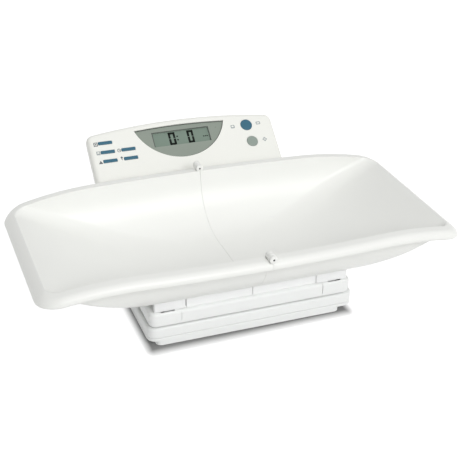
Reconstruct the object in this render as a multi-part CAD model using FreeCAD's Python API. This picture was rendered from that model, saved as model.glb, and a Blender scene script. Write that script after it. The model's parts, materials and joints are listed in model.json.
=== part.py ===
import FreeCAD, Part
import math
import os
from FreeCAD import Vector

# Digital baby weighing scale.  Millimetres.  +X to the right along the tray, +Y to the back,
# +Z up, z = 0 on the floor.  Pieces are drawn about the middle of the tray; the finished part
# has its origin under the middle of the whole scale, MIDDLE_Y further back.

MIDDLE_Y = 57.4

# ---- tray -----------------------------------------------------------------------------------
TRAY_HALF_LENGTH = 311.0
TRAY_HALF_WIDTH = 159.0
TRAY_SIDE_RADIUS = 2660.0       # the long sides bow outwards in plan on this radius
TRAY_CORNER = 28.0
TRAY_WALL = 3.0
TRAY_FLOOR = 68.7               # inner face of the floor
RIM_TOP = 150.7
RIM_FLAT = 146.0                # the rim is level up to here, then drops on RIM_DROP_RADIUS
RIM_DROP_RADIUS = 696.0
RIM_DEPTH = 11.5
RIM_BEVELS = (6.6, 2.4)         # the rim's edge rolls over in a bevel whose edges are bevelled again
RIM_HOLLOW_BEVEL = 6.2          # the hollow under the rim follows the roll
SEAM_GAP = 0.5
SIDE_FLOOR = 51.5               # level floor on each side of the middle, before the first arc
SIDE_ARCS = ((108.0, 17.5), (75.0, 54.3))
END_FLOOR = 64.0
END_ARCS = ((412.0, 25.6),)

# ---- rim hinges -----------------------------------------------------------------------------
HINGE_Z = 151.4
BARREL_RADIUS = 6.2
BARREL_CLEARANCE = 0.8
HINGE_OUT = 158.2
HINGE_IN = 140.0
KNUCKLE_GAP = 0.4
PIN_RADIUS = 1.75
PIN_SIDES = 12
PIN_PLAY = 0.05
PIN_RECESS = 1.2

# ---- tray supports and legs -----------------------------------------------------------------
SUPPORT_HALF_WIDTH = 89.5
SUPPORT_WALL = 3.0
SUPPORT_END = 98.8
SUPPORT_BOTTOM = 57.3
LEG_INNER = 100.3
LEG_OUTER = 146.2
LEG_DEPTH = 30.0
LEG_FACE = 88.0
LEG_BOTTOM = 58.2
LEG_FLARE = 4.0
LEG_SCREW = (124.0, 70.0)
TONGUE_INNER = 117.6
TONGUE_OUTER = 131.0
TONGUE_DROP = 6.0
SLOT_INNER = 117.0
SLOT_OUTER = 137.2
SLOT_FRONT = 94.0
SLOT_BACK = 84.4

# ---- platform -------------------------------------------------------------------------------
PLATFORM_HALF_LENGTH = 152.6
PLATFORM_HALF_WIDTH = 95.6
PLATFORM_BOTTOM = 36.6
PLATFORM_TOP = 57.2
PLATFORM_WALL = 3.0
PLATFORM_CORNER = 10.0
PLATFORM_EDGE = 5.0
CAP_START = 108.0
CAP_BACK = 60.0
CAP_BOTTOM = 40.5
CAP_PROUD = 0.6
CAP_INLET = 1.6
FRAME_TOP = 46.5
FRAME_THICKNESS = 2.5

# ---- base -----------------------------------------------------------------------------------
BASE_HALF_LENGTH = 156.8
BASE_FRONT = -92.5
BASE_BACK = 150.0
BASE_TOP = 34.0
BASE_PARTING = 15.0
BASE_STEP = 6.5
BASE_CORNER = 12.0
BASE_INNER_CORNER = 7.0
BASE_EDGE = 6.0
BASE_WALL = 2.5
PLINTH_HALF_LENGTH = 138.6
PLINTH_INSET = 3.5
PLINTH_BOTTOM = 1.6
FOOT_RADIUS = 9.0
FEET = ((-120, -70), (120, -70), (-120, 122), (120, 122))
BASE_SCREWS = ((-128, -38), (128, -38), (-128, 92), (128, 92))
SCREW_SINK = 1.4

# ---- load cell ------------------------------------------------------------------------------
CELL_HALF_LENGTH = 65.0
CELL_HALF_WIDTH = 15.0
CELL_BOTTOM = 9.3
CELL_TOP = 29.3
CELL_END = 34.0                 # length of each end that is clamped
CELL_BEND = 0.5                 # room over the free end, which the bar's bending takes up

# ---- display head: x along the head, s up its sloping face, w out of the face ----------------
HEAD_TILT = 39.9                # slope of the face, degrees from horizontal
HEAD_Y = 184.1
HEAD_Z = 132.7
HEAD_HALF_LENGTH = 157.0
HEAD_LOW = -10.0
HEAD_SHOULDER = 80.3
HEAD_CROWN = 92.6
HEAD_CORNER = 12.0
HEAD_EDGE = 5.0
HEAD_WALL = 2.5
HEAD_PARTING = -16.0
HEAD_BACK = -32.0
WINDOW_HALF_WIDTH = 76.5
WINDOW_TOP = 78.0
WINDOW_CROWN = 81.0
WINDOW_LOW = 22.0
GLASS_HALF_WIDTH = 47.2
GLASS_LOW = 45.9
GLASS_HIGH = 70.8
KEY_LENGTH = 22.8
KEY_HEIGHT = 5.5
KEY_PLAY = 0.3
KEY_PROUD = 0.9
OBLONG_KEYS = {
    "key_memory": (-127.0, 63.6),
    "key_recall": (-126.0, 47.4),
    "key_clear": (-92.3, 47.8),
    "key_difference": (-125.2, 31.6),
    "key_adjust": (-91.7, 32.0),
}
ROUND_KEYS = {
    "key_weight": (113.8, 64.2, 9.8),
    "key_power": (116.2, 33.5, 9.3),
}
BATTERY_X = (68.0, 129.0)
BATTERY_S = (14.0, 70.0)
BATTERY_FLOOR = -13.5
CELL_RADIUS = 7.1
CELL_PITCH = 14.6
HEAD_SCREWS = ((-146.5, 6), (146.5, 6), (-146.5, 56), (146.5, 56))

# ---- arm ------------------------------------------------------------------------------------
ARM_HALF_WIDTH = 62.0
ARM_WALL = 2.5
ARM_EDGE = 4.0
ARM_FRONT = 114.0
ARM_BACK = 154.0
ARM_SCREWS = ((-42, 122), (42, 122), (-42, 143), (42, 143))

X_AXIS, Y_AXIS, Z_AXIS = Vector(1, 0, 0), Vector(0, 1, 0), Vector(0, 0, 1)
ORIGIN = Vector(0, 0, 0)


# ---- helpers --------------------------------------------------------------------------------
def box(x, y, z):
    """Box from three (low, high) pairs."""
    return Part.makeBox(x[1] - x[0], y[1] - y[0], z[1] - z[0], Vector(x[0], y[0], z[0]))


def peg(x, y, z, radius, sides=8):
    """Upright prism over the height pair z, for small screws, bosses, holes, keys and feet."""
    turns = [2 * math.pi * k / sides for k in range(sides + 1)]
    points = [Vector(x + radius * math.cos(a), y + radius * math.sin(a), z[0]) for a in turns]
    return Part.Face(Part.makePolygon(points)).extrude(Vector(0, 0, z[1] - z[0]))


def rod(x, y, z, radius, sides):
    """Prism that lies along Y over the length pair y."""
    solid = peg(0, 0, y, radius, sides)
    solid.rotate(ORIGIN, X_AXIS, -90)
    solid.translate(Vector(x, 0, z))
    return solid


def rounded_box(x, y, z, corner):
    """Box with its four upright edges rounded."""
    solid = box(x, y, z)
    return solid.makeFillet(corner, [e for e in solid.Edges if upright(e)])


def clipped_box(x, y, z, corner):
    """Box with its four upright edges cut off at 45 degrees."""
    solid = box(x, y, z)
    return solid.makeChamfer(corner, [e for e in solid.Edges if upright(e)])


def upright(edge):
    b = edge.BoundBox
    return b.XLength < 0.01 and b.YLength < 0.01


def edges_at(solid, z):
    """Edges that lie wholly at height z."""
    return [e for e in solid.Edges if abs(e.BoundBox.ZMin - z) < 0.01 and abs(e.BoundBox.ZMax - z) < 0.01]


def mirror_x(shape):
    return shape.mirror(ORIGIN, X_AXIS)


def mirror_y(shape):
    return shape.mirror(ORIGIN, Y_AXIS)


def loop(edges):
    return Part.Face(Part.Wire(Part.__sortEdges__(edges)))


def segment(a, b):
    return Part.LineSegment(a, b).toShape()


def arc(a, b, c):
    return Part.Arc(a, b, c).toShape()


def to_head(shape):
    """Turns a shape drawn in the head's x, s, w frame into its place."""
    turned = shape.copy()
    turned.rotate(ORIGIN, X_AXIS, HEAD_TILT)
    turned.translate(Vector(0, HEAD_Y, HEAD_Z))
    return turned


def save(node, shape):
    """Writes a node's solids, with the origin moved to the middle of the whole scale."""
    solids = shape.Solids
    placed = (solids[0] if len(solids) == 1 else Part.makeCompound(solids)).copy()
    placed.translate(Vector(0, -MIDDLE_Y, 0))
    placed.exportStep(f"parts/{node}.step")


# ---- tray -----------------------------------------------------------------------------------
def rising_profile(level, arcs, top, grow, place):
    """Edges of a level floor that turns up through tangent arcs into a straight wall.

    grow is added to every radius, which gives the parallel outer face of the same wall.
    place turns (distance from the middle, height) into a point.
    """
    reach, height, slope = level, TRAY_FLOOR - grow, 0.0
    edges = [segment(place(0, height), place(reach, height))]
    for radius, turn in arcs:
        radius += grow

        def at(angle):
            return (reach + radius * (math.sin(angle) - math.sin(slope)),
                    height + radius * (math.cos(slope) - math.cos(angle)))

        end = slope + math.radians(turn)
        middle, last = at((slope + end) / 2), at(end)
        edges.append(arc(place(reach, height), place(*middle), place(*last)))
        reach, height, slope = last[0], last[1], end
    outer = reach + (top - height) / math.tan(slope)
    edges.append(segment(place(reach, height), place(outer, top)))
    edges.append(segment(place(outer, top), place(0, top)))
    edges.append(segment(place(0, top), place(0, TRAY_FLOOR - grow)))
    return edges


def bowl(grow):
    """Right half of the tray's form: two bowed side troughs cut off by a sloping end."""
    top = RIM_TOP + 25

    def across(y, z):
        return Vector(0, y, z)

    def along(x, z):
        return Vector(x, -TRAY_HALF_WIDTH - 50, z)

    side = loop(rising_profile(SIDE_FLOOR, SIDE_ARCS, top, grow, across))
    bow_centre = Vector(0, TRAY_HALF_WIDTH - TRAY_SIDE_RADIUS, 0)
    back = side.revolve(bow_centre, Z_AXIS, -9)
    end = loop(rising_profile(END_FLOOR, END_ARCS, top, grow, along))
    end = end.extrude(Vector(0, 2 * TRAY_HALF_WIDTH + 100, 0))
    back = back.common(end)
    filler = box((0, 400), (-20, 40), (TRAY_FLOOR - grow, top)).common(end)
    half = back.fuse(filler)
    return half.fuse(mirror_y(half)).removeSplitter()


def rim_outline(inset, z):
    """Plan of the tray's right half: straight seam, bowed sides, rounded corners."""
    length, width = TRAY_HALF_LENGTH - inset, TRAY_HALF_WIDTH - inset
    corner, radius = TRAY_CORNER - inset, TRAY_SIDE_RADIUS - inset
    centre = width - radius
    corner_y = centre + math.sqrt((radius - corner) ** 2 - (length - corner) ** 2)
    lean = math.atan2(length - corner, corner_y - centre)
    turn = (math.pi / 2 - lean) / 2

    def bowed(angle, side):
        return Vector(radius * math.sin(angle), side * (centre + radius * math.cos(angle)), z)

    edges = [segment(Vector(0, -width, z), Vector(0, width, z)),
             segment(Vector(length, -corner_y, z), Vector(length, corner_y, z))]
    for side in (-1, 1):
        middle = Vector(length - corner + corner * math.cos(turn),
                        side * (corner_y + corner * math.sin(turn)), z)
        edges.append(arc(Vector(0, side * width, z), bowed(lean / 2, side), bowed(lean, side)))
        edges.append(arc(bowed(lean, side), middle, Vector(length, side * corner_y, z)))
    return loop(edges)


def rim_height(x):
    run = max(x - RIM_FLAT, 0.0)
    return RIM_TOP - RIM_DROP_RADIUS + math.sqrt(RIM_DROP_RADIUS ** 2 - run ** 2)


def under_rim(drop):
    """Everything lower than the rim's top surface moved down by drop."""
    far, y = TRAY_HALF_LENGTH + 20, -TRAY_HALF_WIDTH - 20

    def at(x):
        return Vector(x, y, rim_height(x) - drop)

    edges = [segment(at(0), at(RIM_FLAT)),
             arc(at(RIM_FLAT), at((RIM_FLAT + far) / 2), at(far)),
             segment(at(far), Vector(far, y, 20)),
             segment(Vector(far, y, 20), Vector(0, y, 20)),
             segment(Vector(0, y, 20), at(0))]
    return loop(edges).extrude(Vector(0, 2 * TRAY_HALF_WIDTH + 40, 0))


def rim_edges(solid, drop, play=0.02):
    """Edges round the outline of a solid whose top lies drop below the rim's top surface."""
    def fits(edge):
        first, last = edge.FirstParameter, edge.LastParameter
        points = [edge.valueAt(first + (last - first) * k / 4) for k in range(5)]
        crosses = edge.BoundBox.XLength < 0.01 and edge.BoundBox.XMin < TRAY_HALF_LENGTH - 40
        return not crosses and all(abs(p.z - rim_height(p.x) + drop) < play for p in points)

    return [edge for edge in solid.Edges if fits(edge)]


def tray_shell():
    """Right half of the tray without its hinge knuckles."""
    height = 60
    slab = rim_outline(0, RIM_TOP - height + 20).extrude(Vector(0, 0, height))
    slab = slab.common(under_rim(0)).cut(under_rim(RIM_DEPTH))
    slab = slab.makeChamfer(RIM_BEVELS[0], rim_edges(slab, 0))
    upper, lower = rim_edges(slab, 0), rim_edges(slab, RIM_BEVELS[0], 0.2)
    slab = slab.makeChamfer(RIM_BEVELS[1], upper + lower)
    hollow = rim_outline(TRAY_WALL, RIM_TOP - height).extrude(Vector(0, 0, height + 20))
    hollow = hollow.common(under_rim(TRAY_WALL))
    hollow = hollow.makeChamfer(RIM_HOLLOW_BEVEL, rim_edges(hollow, TRAY_WALL))
    rim = slab.cut(hollow)
    wall = bowl(TRAY_WALL).common(under_rim(1.5))
    return wall.fuse(rim).cut(bowl(0))


def barrel(low, high, radius, sides):
    return rod(0, (low, high), HINGE_Z, radius, sides)


def knuckles():
    """Spans along Y of the back hinge: the right half has the two outer ones, the left the middle."""
    third = (HINGE_OUT - HINGE_IN - 2 * KNUCKLE_GAP) / 3
    inner = (HINGE_IN, HINGE_IN + third)
    middle = (inner[1] + KNUCKLE_GAP, inner[1] + KNUCKLE_GAP + third)
    outer = (middle[1] + KNUCKLE_GAP, HINGE_OUT)
    return [inner, outer], [middle]


def both_hinges(spans, radius, sides=24):
    solids = [barrel(low, high, radius, sides) for low, high in spans]
    group = solids[0].multiFuse(solids[1:]) if len(solids) > 1 else solids[0]
    return group.fuse(mirror_y(group))


def tray_half(side, shell):
    """side is +1 for the right half and -1 for the left."""
    right_spans, left_spans = knuckles()
    own, other = (right_spans, left_spans) if side > 0 else (left_spans, right_spans)
    room = [(low - KNUCKLE_GAP, high + KNUCKLE_GAP) for low, high in other]
    half = shell.cut(box((-1, SEAM_GAP / 2), (-200, 200), (0, 200)))
    if side < 0:
        half = mirror_x(half)
    half = half.cut(both_hinges(room, BARREL_RADIUS + BARREL_CLEARANCE))
    half = half.fuse(both_hinges(own, BARREL_RADIUS))
    bore = (PIN_RADIUS + PIN_PLAY) / math.cos(math.pi / PIN_SIDES)
    half = half.cut(both_hinges([(HINGE_IN - 5, HINGE_OUT + 5)], bore, PIN_SIDES))
    for x, y, reach in support_screws() + leg_screws():
        half = half.cut(peg(side * x, y, (60, reach + 0.3), 1.7))
    return half


def hinge_pin(side):
    low, high = HINGE_IN + PIN_RECESS, HINGE_OUT - PIN_RECESS
    pin = barrel(low, high, PIN_RADIUS, PIN_SIDES)
    return pin if side > 0 else mirror_y(pin)


# ---- tray supports and legs -----------------------------------------------------------------
def support_screws():
    """Places of the screws that hold a support, and the height that they reach."""
    return [(49.75, y, TRAY_FLOOR - 1.5) for y in (-29.75, 29.75)]


def leg_screws():
    return [(LEG_SCREW[0], side * LEG_SCREW[1], TRAY_FLOOR + 3.3) for side in (-1, 1)]


def support(tray_form):
    """Ribbed frame under the right half of the tray, cut to the tray's underside."""
    half, wall = SUPPORT_HALF_WIDTH, SUPPORT_WALL
    height = (SUPPORT_BOTTOM, SUPPORT_BOTTOM + 24)
    frame = box((SEAM_GAP, SUPPORT_END), (-half, half), height)
    bays_x = ((SEAM_GAP + wall, 48.5), (51.0, SUPPORT_END - wall))
    bays_y = ((-half + wall, -31.0), (-28.5, 28.5), (31.0, half - wall))
    for x in bays_x:
        for y in bays_y:
            frame = frame.cut(box(x, y, height))
    for x, y, _ in support_screws():
        frame = frame.fuse(peg(x, y, height, 5.0))
    frame = frame.cut(tray_form)
    for x, y, _ in support_screws():
        frame = frame.cut(screw_hole(x, y))
    return frame


def screw_hole(x, y):
    low = SUPPORT_BOTTOM - 1
    return peg(x, y, (low, low + 25), 1.6).fuse(peg(x, y, (low, low + 3.6), 3.3))


def tray_screw(x, y, reach):
    low = SUPPORT_BOTTOM + 0.8
    return peg(x, y, (low, reach), 1.5).fuse(peg(x, y, (low, low + 1.7), 3.0))


def leg(tray_form):
    """Leg at the right of the back: a face panel that flares onto the cap, and a tongue."""
    face, top = LEG_FACE, LEG_BOTTOM + 22
    wall = SUPPORT_WALL
    panel = loop([segment(Vector(LEG_INNER, face + LEG_FLARE, LEG_BOTTOM),
                          Vector(LEG_INNER, face + LEG_FLARE, LEG_BOTTOM + 1)),
                  arc(Vector(LEG_INNER, face + LEG_FLARE, LEG_BOTTOM + 1),
                      Vector(LEG_INNER, face + LEG_FLARE * 0.29, LEG_BOTTOM + 1 + LEG_FLARE * 0.71),
                      Vector(LEG_INNER, face, LEG_BOTTOM + 1 + LEG_FLARE * 2)),
                  segment(Vector(LEG_INNER, face, LEG_BOTTOM + 1 + LEG_FLARE * 2),
                          Vector(LEG_INNER, face, top)),
                  segment(Vector(LEG_INNER, face, top), Vector(LEG_INNER, face - wall, top)),
                  segment(Vector(LEG_INNER, face - wall, top), Vector(LEG_INNER, face - wall, LEG_BOTTOM)),
                  segment(Vector(LEG_INNER, face - wall, LEG_BOTTOM),
                          Vector(LEG_INNER, face + LEG_FLARE, LEG_BOTTOM))])
    body = panel.extrude(Vector(LEG_OUTER - LEG_INNER, 0, 0))
    rib = box((LEG_INNER, LEG_INNER + wall), (face - LEG_DEPTH, face - 1), (LEG_BOTTOM, top))
    boss = peg(*LEG_SCREW, (LEG_BOTTOM, top), 5.0)
    web = box((LEG_INNER, LEG_SCREW[0]), (LEG_SCREW[1] - 1.5, LEG_SCREW[1] + 1.5), (LEG_BOTTOM, top))
    tongue = box((TONGUE_INNER, TONGUE_OUTER), (face - wall, face),
                 (LEG_BOTTOM - TONGUE_DROP, LEG_BOTTOM + 1))
    body = body.multiFuse([rib, boss, web]).cut(tray_form)
    body = body.cut(screw_hole(*LEG_SCREW))
    return body.fuse(tongue)


# ---- platform -------------------------------------------------------------------------------
def platform_form():
    """Closed form of the platform: rounded corners and top edge, a bevel below."""
    x, y = PLATFORM_HALF_LENGTH, PLATFORM_HALF_WIDTH
    solid = rounded_box((-x, x), (-y, y), (PLATFORM_BOTTOM, PLATFORM_TOP), PLATFORM_CORNER)
    solid = solid.makeFillet(PLATFORM_EDGE, edges_at(solid, PLATFORM_TOP))
    return solid.makeChamfer(2.5, edges_at(solid, PLATFORM_BOTTOM))


def cap_form():
    """Outside of the caps: the platform's form, a little larger all round."""
    x, y = PLATFORM_HALF_LENGTH + CAP_PROUD, PLATFORM_HALF_WIDTH + CAP_PROUD
    top = PLATFORM_TOP + CAP_PROUD
    solid = rounded_box((-x, x), (-y, y), (PLATFORM_BOTTOM - 5, top), PLATFORM_CORNER + CAP_PROUD)
    return solid.makeChamfer(0.6 * PLATFORM_EDGE, edges_at(solid, top))


def cap_seat():
    """Inside of the caps, where they sit on the platform: flat faces and bevels only."""
    x, y = PLATFORM_HALF_LENGTH - CAP_INLET, PLATFORM_HALF_WIDTH - CAP_INLET
    top = PLATFORM_TOP - CAP_INLET
    solid = clipped_box((-x, x), (-y, y), (PLATFORM_BOTTOM - 5, top), 0.6 * PLATFORM_CORNER)
    return solid.makeChamfer(0.5 * PLATFORM_EDGE, edges_at(solid, top))


def cap_zones():
    zone = box((CAP_START, 200), (CAP_BACK, 200), (CAP_BOTTOM, 80))
    zones = {"rear_right": zone, "rear_left": mirror_x(zone)}
    zones["front_right"] = mirror_y(zone)
    zones["front_left"] = mirror_x(zones["front_right"])
    return zones


def cap_slots():
    slot = box((SLOT_INNER, SLOT_OUTER), (SLOT_BACK, SLOT_FRONT), (45, 70))
    pair = slot.fuse(mirror_x(slot))
    return pair.fuse(mirror_y(pair))


def platform_pieces():
    outer, seat, proud = platform_form(), cap_seat(), cap_form()
    slots = cap_slots()
    wall = PLATFORM_WALL
    inside = clipped_box((-PLATFORM_HALF_LENGTH + wall, PLATFORM_HALF_LENGTH - wall),
                         (-PLATFORM_HALF_WIDTH + wall, PLATFORM_HALF_WIDTH - wall),
                         (PLATFORM_BOTTOM - 1, PLATFORM_TOP - wall), PLATFORM_CORNER - wall)
    top = outer
    for zone in cap_zones().values():
        top = top.cut(zone.cut(seat))
    top = top.cut(inside).cut(slots)
    for x in (-112, 112):
        for y in (-58, 58):
            top = top.fuse(peg(x, y, (FRAME_TOP, PLATFORM_TOP - wall), 5.0))
            top = top.cut(peg(x, y, (FRAME_TOP - 1, PLATFORM_TOP - wall - 1.5), 1.6))
    caps = {f"cap_{name}": proud.common(zone).cut(seat).cut(slots) for name, zone in cap_zones().items()}
    return top, caps


def platform_frame():
    """Steel pressing: a plate with turned-down edges, lightened at its four corners."""
    low = FRAME_TOP - FRAME_THICKNESS
    plate = clipped_box((-122, 122), (-68, 68), (low, FRAME_TOP), 8)
    skirt = clipped_box((-100, 100), (-68, 68), (low - 5, low), 3)
    skirt = skirt.cut(box((-110, 110), (-65.5, 65.5), (low - 6, low + 1)))
    frame = plate.fuse(skirt)
    for x in (-75, 0):
        frame = frame.cut(clipped_box((x - 22, x + 12), (-40, 40), (low - 1, FRAME_TOP + 1), 6))
    for x in (-112, 112):
        for y in (-58, 58):
            frame = frame.cut(peg(x, y, (low - 1, FRAME_TOP + 1), 2.0))
    for x, y in bracket_screws():
        frame = frame.cut(peg(x, y, (low - 1, FRAME_TOP + 1), 2.2))
    return frame


def platform_screw(x, y):
    low = FRAME_TOP - FRAME_THICKNESS
    return peg(x, y, (low - 1.8, low), 3.2).fuse(peg(x, y, (low, PLATFORM_TOP - PLATFORM_WALL - 2), 1.5))


# ---- base -----------------------------------------------------------------------------------
def base_slab(maker, inset, z, corner):
    """Plan of the base over the height pair z; maker is rounded_box or clipped_box."""
    return maker((-BASE_HALF_LENGTH + inset, BASE_HALF_LENGTH - inset),
                 (BASE_FRONT + inset, BASE_BACK - inset), z, corner)


def plinth_slab(maker, inset, z, corner):
    half = PLINTH_HALF_LENGTH - inset
    inset += PLINTH_INSET
    return maker((-half, half), (BASE_FRONT + inset, BASE_BACK - 4 - inset), z, corner)


def base_top_shell():
    shell = base_slab(rounded_box, 0, (BASE_PARTING, BASE_TOP), BASE_CORNER)
    shell = shell.makeFillet(BASE_EDGE, edges_at(shell, BASE_TOP))
    hollow = (BASE_PARTING - 1, BASE_TOP - BASE_WALL)
    shell = shell.cut(base_slab(clipped_box, BASE_WALL, hollow, BASE_INNER_CORNER))
    for x, y in BASE_SCREWS:
        shell = shell.fuse(peg(x, y, (4.3, BASE_TOP - BASE_WALL), 4.5))
        shell = shell.cut(peg(x, y, (4, 24), 1.6))
    for x in (-88, 88):
        for y in (-56, 56):
            shell = shell.fuse(peg(x, y, (BASE_TOP - 0.5, FRAME_TOP - FRAME_THICKNESS - 1.3), 5.0))
    shell = shell.cut(clipped_box((25, 71), (-21, 21), (BASE_TOP - 5, BASE_TOP + 1), 4))
    for x, y in ARM_SCREWS:
        shell = shell.cut(peg(x, y, (BASE_TOP - 5, BASE_TOP + 1), 2.2))
    return shell.cut(clipped_box((-20, 20), (122, 142), (BASE_TOP - 5, BASE_TOP + 1), 4))


def base_bottom_cover():
    wall, joint = BASE_WALL, BASE_PARTING - 0.6
    cover = base_slab(rounded_box, 0, (BASE_STEP, joint), BASE_CORNER)
    cover = cover.makeChamfer(1.2, edges_at(cover, BASE_STEP))
    cover = cover.fuse(plinth_slab(rounded_box, 0, (PLINTH_BOTTOM, BASE_STEP), 8))
    lip = base_slab(clipped_box, wall + 0.3, (joint - 1, joint + 3.4), BASE_INNER_CORNER)
    cover = cover.fuse(lip)
    cover = cover.cut(base_slab(clipped_box, wall + 2.1, (BASE_STEP + wall, joint + 5), BASE_INNER_CORNER))
    cover = cover.cut(plinth_slab(clipped_box, wall, (PLINTH_BOTTOM + wall, BASE_STEP + wall + 1), 6))
    for x, y in FEET:
        cover = cover.cut(foot(x, y, 0.1))
    for x, y in BASE_SCREWS:
        cover = cover.cut(peg(x, y, (0, 6), 1.8))
        cover = cover.cut(peg(x, y, (0, PLINTH_BOTTOM + SCREW_SINK), 3.4))
    return cover


def foot(x, y, grow=0):
    """Disc foot; grow is the play all round it in its recess."""
    return peg(x, y, (0, PLINTH_BOTTOM + 1), FOOT_RADIUS + grow, 16)


def chassis_plate():
    plate = clipped_box((-112, 112), (-58, 58), (4.3, 6.3), 6)
    for x in (-90, 90):
        plate = plate.cut(clipped_box((x - 14, x + 14), (-34, 34), (4, 7), 5))
    return plate


def load_cell():
    """Single-point cell: an aluminium bar thinned by two bores joined by a slot."""
    bar = box((-CELL_HALF_LENGTH, CELL_HALF_LENGTH), (-CELL_HALF_WIDTH, CELL_HALF_WIDTH),
              (CELL_BOTTOM, CELL_TOP))
    middle = (CELL_BOTTOM + CELL_TOP) / 2
    for x in (-16, 16):
        bar = bar.cut(rod(x, (-20, 20), middle, 8.4, 16))
    bar = bar.cut(box((-16, 16), (-20, 20), (middle - 4, middle + 4)))
    for x, y in spacer_screws():
        bar = bar.cut(peg(x, y, (CELL_BOTTOM - 1, CELL_BOTTOM + 12), 2.0))
    for x, y in bracket_screws():
        bar = bar.cut(peg(x, y, (CELL_TOP - 12, CELL_TOP + 1), 2.0))
    return bar.makeChamfer(0.8, [e for e in bar.Edges if e.Length > 2 * CELL_HALF_LENGTH - 1])


def spacer_screws():
    return [(-56, 0), (-41, 0)]


def bracket_screws():
    return [(41, 0), (56, 0)]


def load_cell_spacer():
    block = box((-CELL_HALF_LENGTH, -CELL_HALF_LENGTH + CELL_END), (-CELL_HALF_WIDTH, CELL_HALF_WIDTH),
                (6.3, CELL_BOTTOM))
    for x, y in spacer_screws():
        block = block.cut(peg(x, y, (6, 10), 2.2))
    return block


def load_cell_bracket():
    low = FRAME_TOP - FRAME_THICKNESS
    block = box((CELL_HALF_LENGTH - CELL_END, CELL_HALF_LENGTH), (-CELL_HALF_WIDTH, CELL_HALF_WIDTH),
                (CELL_TOP + CELL_BEND, low - 3))
    flange = clipped_box((20, 76), (-28, 28), (low - 3, low), 4)
    bracket = block.fuse(flange)
    for x, y in bracket_screws():
        bracket = bracket.cut(peg(x, y, (CELL_TOP - 1, low + 1), 2.2))
    return bracket


def bracket_screw(x, y):
    return peg(x, y, (CELL_TOP - 10, FRAME_TOP), 1.9).fuse(peg(x, y, (FRAME_TOP, FRAME_TOP + 3), 3.5))


def spacer_screw(x, y):
    return peg(x, y, (6.3, CELL_BOTTOM + 10), 1.9)


def base_screw(x, y):
    """Slotted screw whose head is sunk in the plinth."""
    low, seat = PLINTH_BOTTOM + 0.2, PLINTH_BOTTOM + SCREW_SINK
    screw = peg(x, y, (low, seat), 3.1).fuse(peg(x, y, (seat, 22), 1.5))
    return screw.cut(box((x - 2.4, x + 2.4), (y - 0.4, y + 0.4), (0, low + 0.6)))


def amplifier_board():
    board = box((-118, -78), (74, 104), (9.1, 10.7))
    chips = [box((-106, -94), (82, 90), (10.7, 12.2)), box((-88, -82), (80, 98), (10.7, 16))]
    posts = [peg(x, y, (4.1, 9.1), 2.5) for x in (-114, -82) for y in (78, 100)]
    return board.multiFuse(chips + posts)


# ---- display head ---------------------------------------------------------------------------
def head_slab(inset, low, high):
    """Outline of the head with its arched top, over the depth low to high."""
    x, bottom = HEAD_HALF_LENGTH - inset, HEAD_LOW + inset
    shoulder, crown = HEAD_SHOULDER - inset, HEAD_CROWN - inset
    face = loop([segment(Vector(-x, bottom, low), Vector(x, bottom, low)),
                 segment(Vector(x, bottom, low), Vector(x, shoulder, low)),
                 arc(Vector(x, shoulder, low), Vector(0, crown, low), Vector(-x, shoulder, low)),
                 segment(Vector(-x, shoulder, low), Vector(-x, bottom, low))])
    solid = face.extrude(Vector(0, 0, high - low))
    upper = [e for e in solid.Edges if upright(e) and e.BoundBox.YMin > 0]
    solid = solid.makeFillet(HEAD_CORNER - inset, upper)
    lower = [e for e in solid.Edges if upright(e) and e.BoundBox.YMin < HEAD_LOW + inset + 1]
    return solid.makeFillet(HEAD_CORNER - inset - 3, lower)


def window_slab(grow, low, high):
    """Half-moon outline: a shallow arc above, a deep arc below."""
    x = WINDOW_HALF_WIDTH + grow
    face = loop([arc(Vector(-x, WINDOW_TOP + grow, low), Vector(0, WINDOW_CROWN + grow, low),
                     Vector(x, WINDOW_TOP + grow, low)),
                 arc(Vector(x, WINDOW_TOP + grow, low), Vector(0, WINDOW_LOW - grow, low),
                     Vector(-x, WINDOW_TOP + grow, low))])
    return face.extrude(Vector(0, 0, high - low))


def oblong(x, s, grow, low, high):
    length, height = KEY_LENGTH / 2 + grow, KEY_HEIGHT / 2 + grow
    return clipped_box((x - length, x + length), (s - height, s + height), (low, high), 1.8 + grow / 2)


def key_holes():
    holes = [oblong(x, s, KEY_PLAY, -4, 2) for x, s in OBLONG_KEYS.values()]
    holes += [peg(x, s, (-4, 2), r + KEY_PLAY, 32) for x, s, r in ROUND_KEYS.values()]
    return holes


def display_front_shell():
    shell = head_slab(0, HEAD_PARTING + 0.2, 0)
    shell = shell.makeFillet(HEAD_EDGE, edges_at(shell, 0))
    shell = shell.cut(head_slab(HEAD_WALL, HEAD_PARTING - 1, -HEAD_WALL))
    bosses = [peg(x, s, (HEAD_PARTING + 0.2, -HEAD_WALL), 4.0) for x, s in HEAD_SCREWS]
    shell = shell.multiFuse(bosses)
    shell = shell.cut(window_slab(0, -4, 2))
    for hole in key_holes():
        shell = shell.cut(hole)
    for x, s in HEAD_SCREWS:
        shell = shell.cut(peg(x, s, (HEAD_PARTING - 1, -5), 1.3))
    return shell


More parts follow.
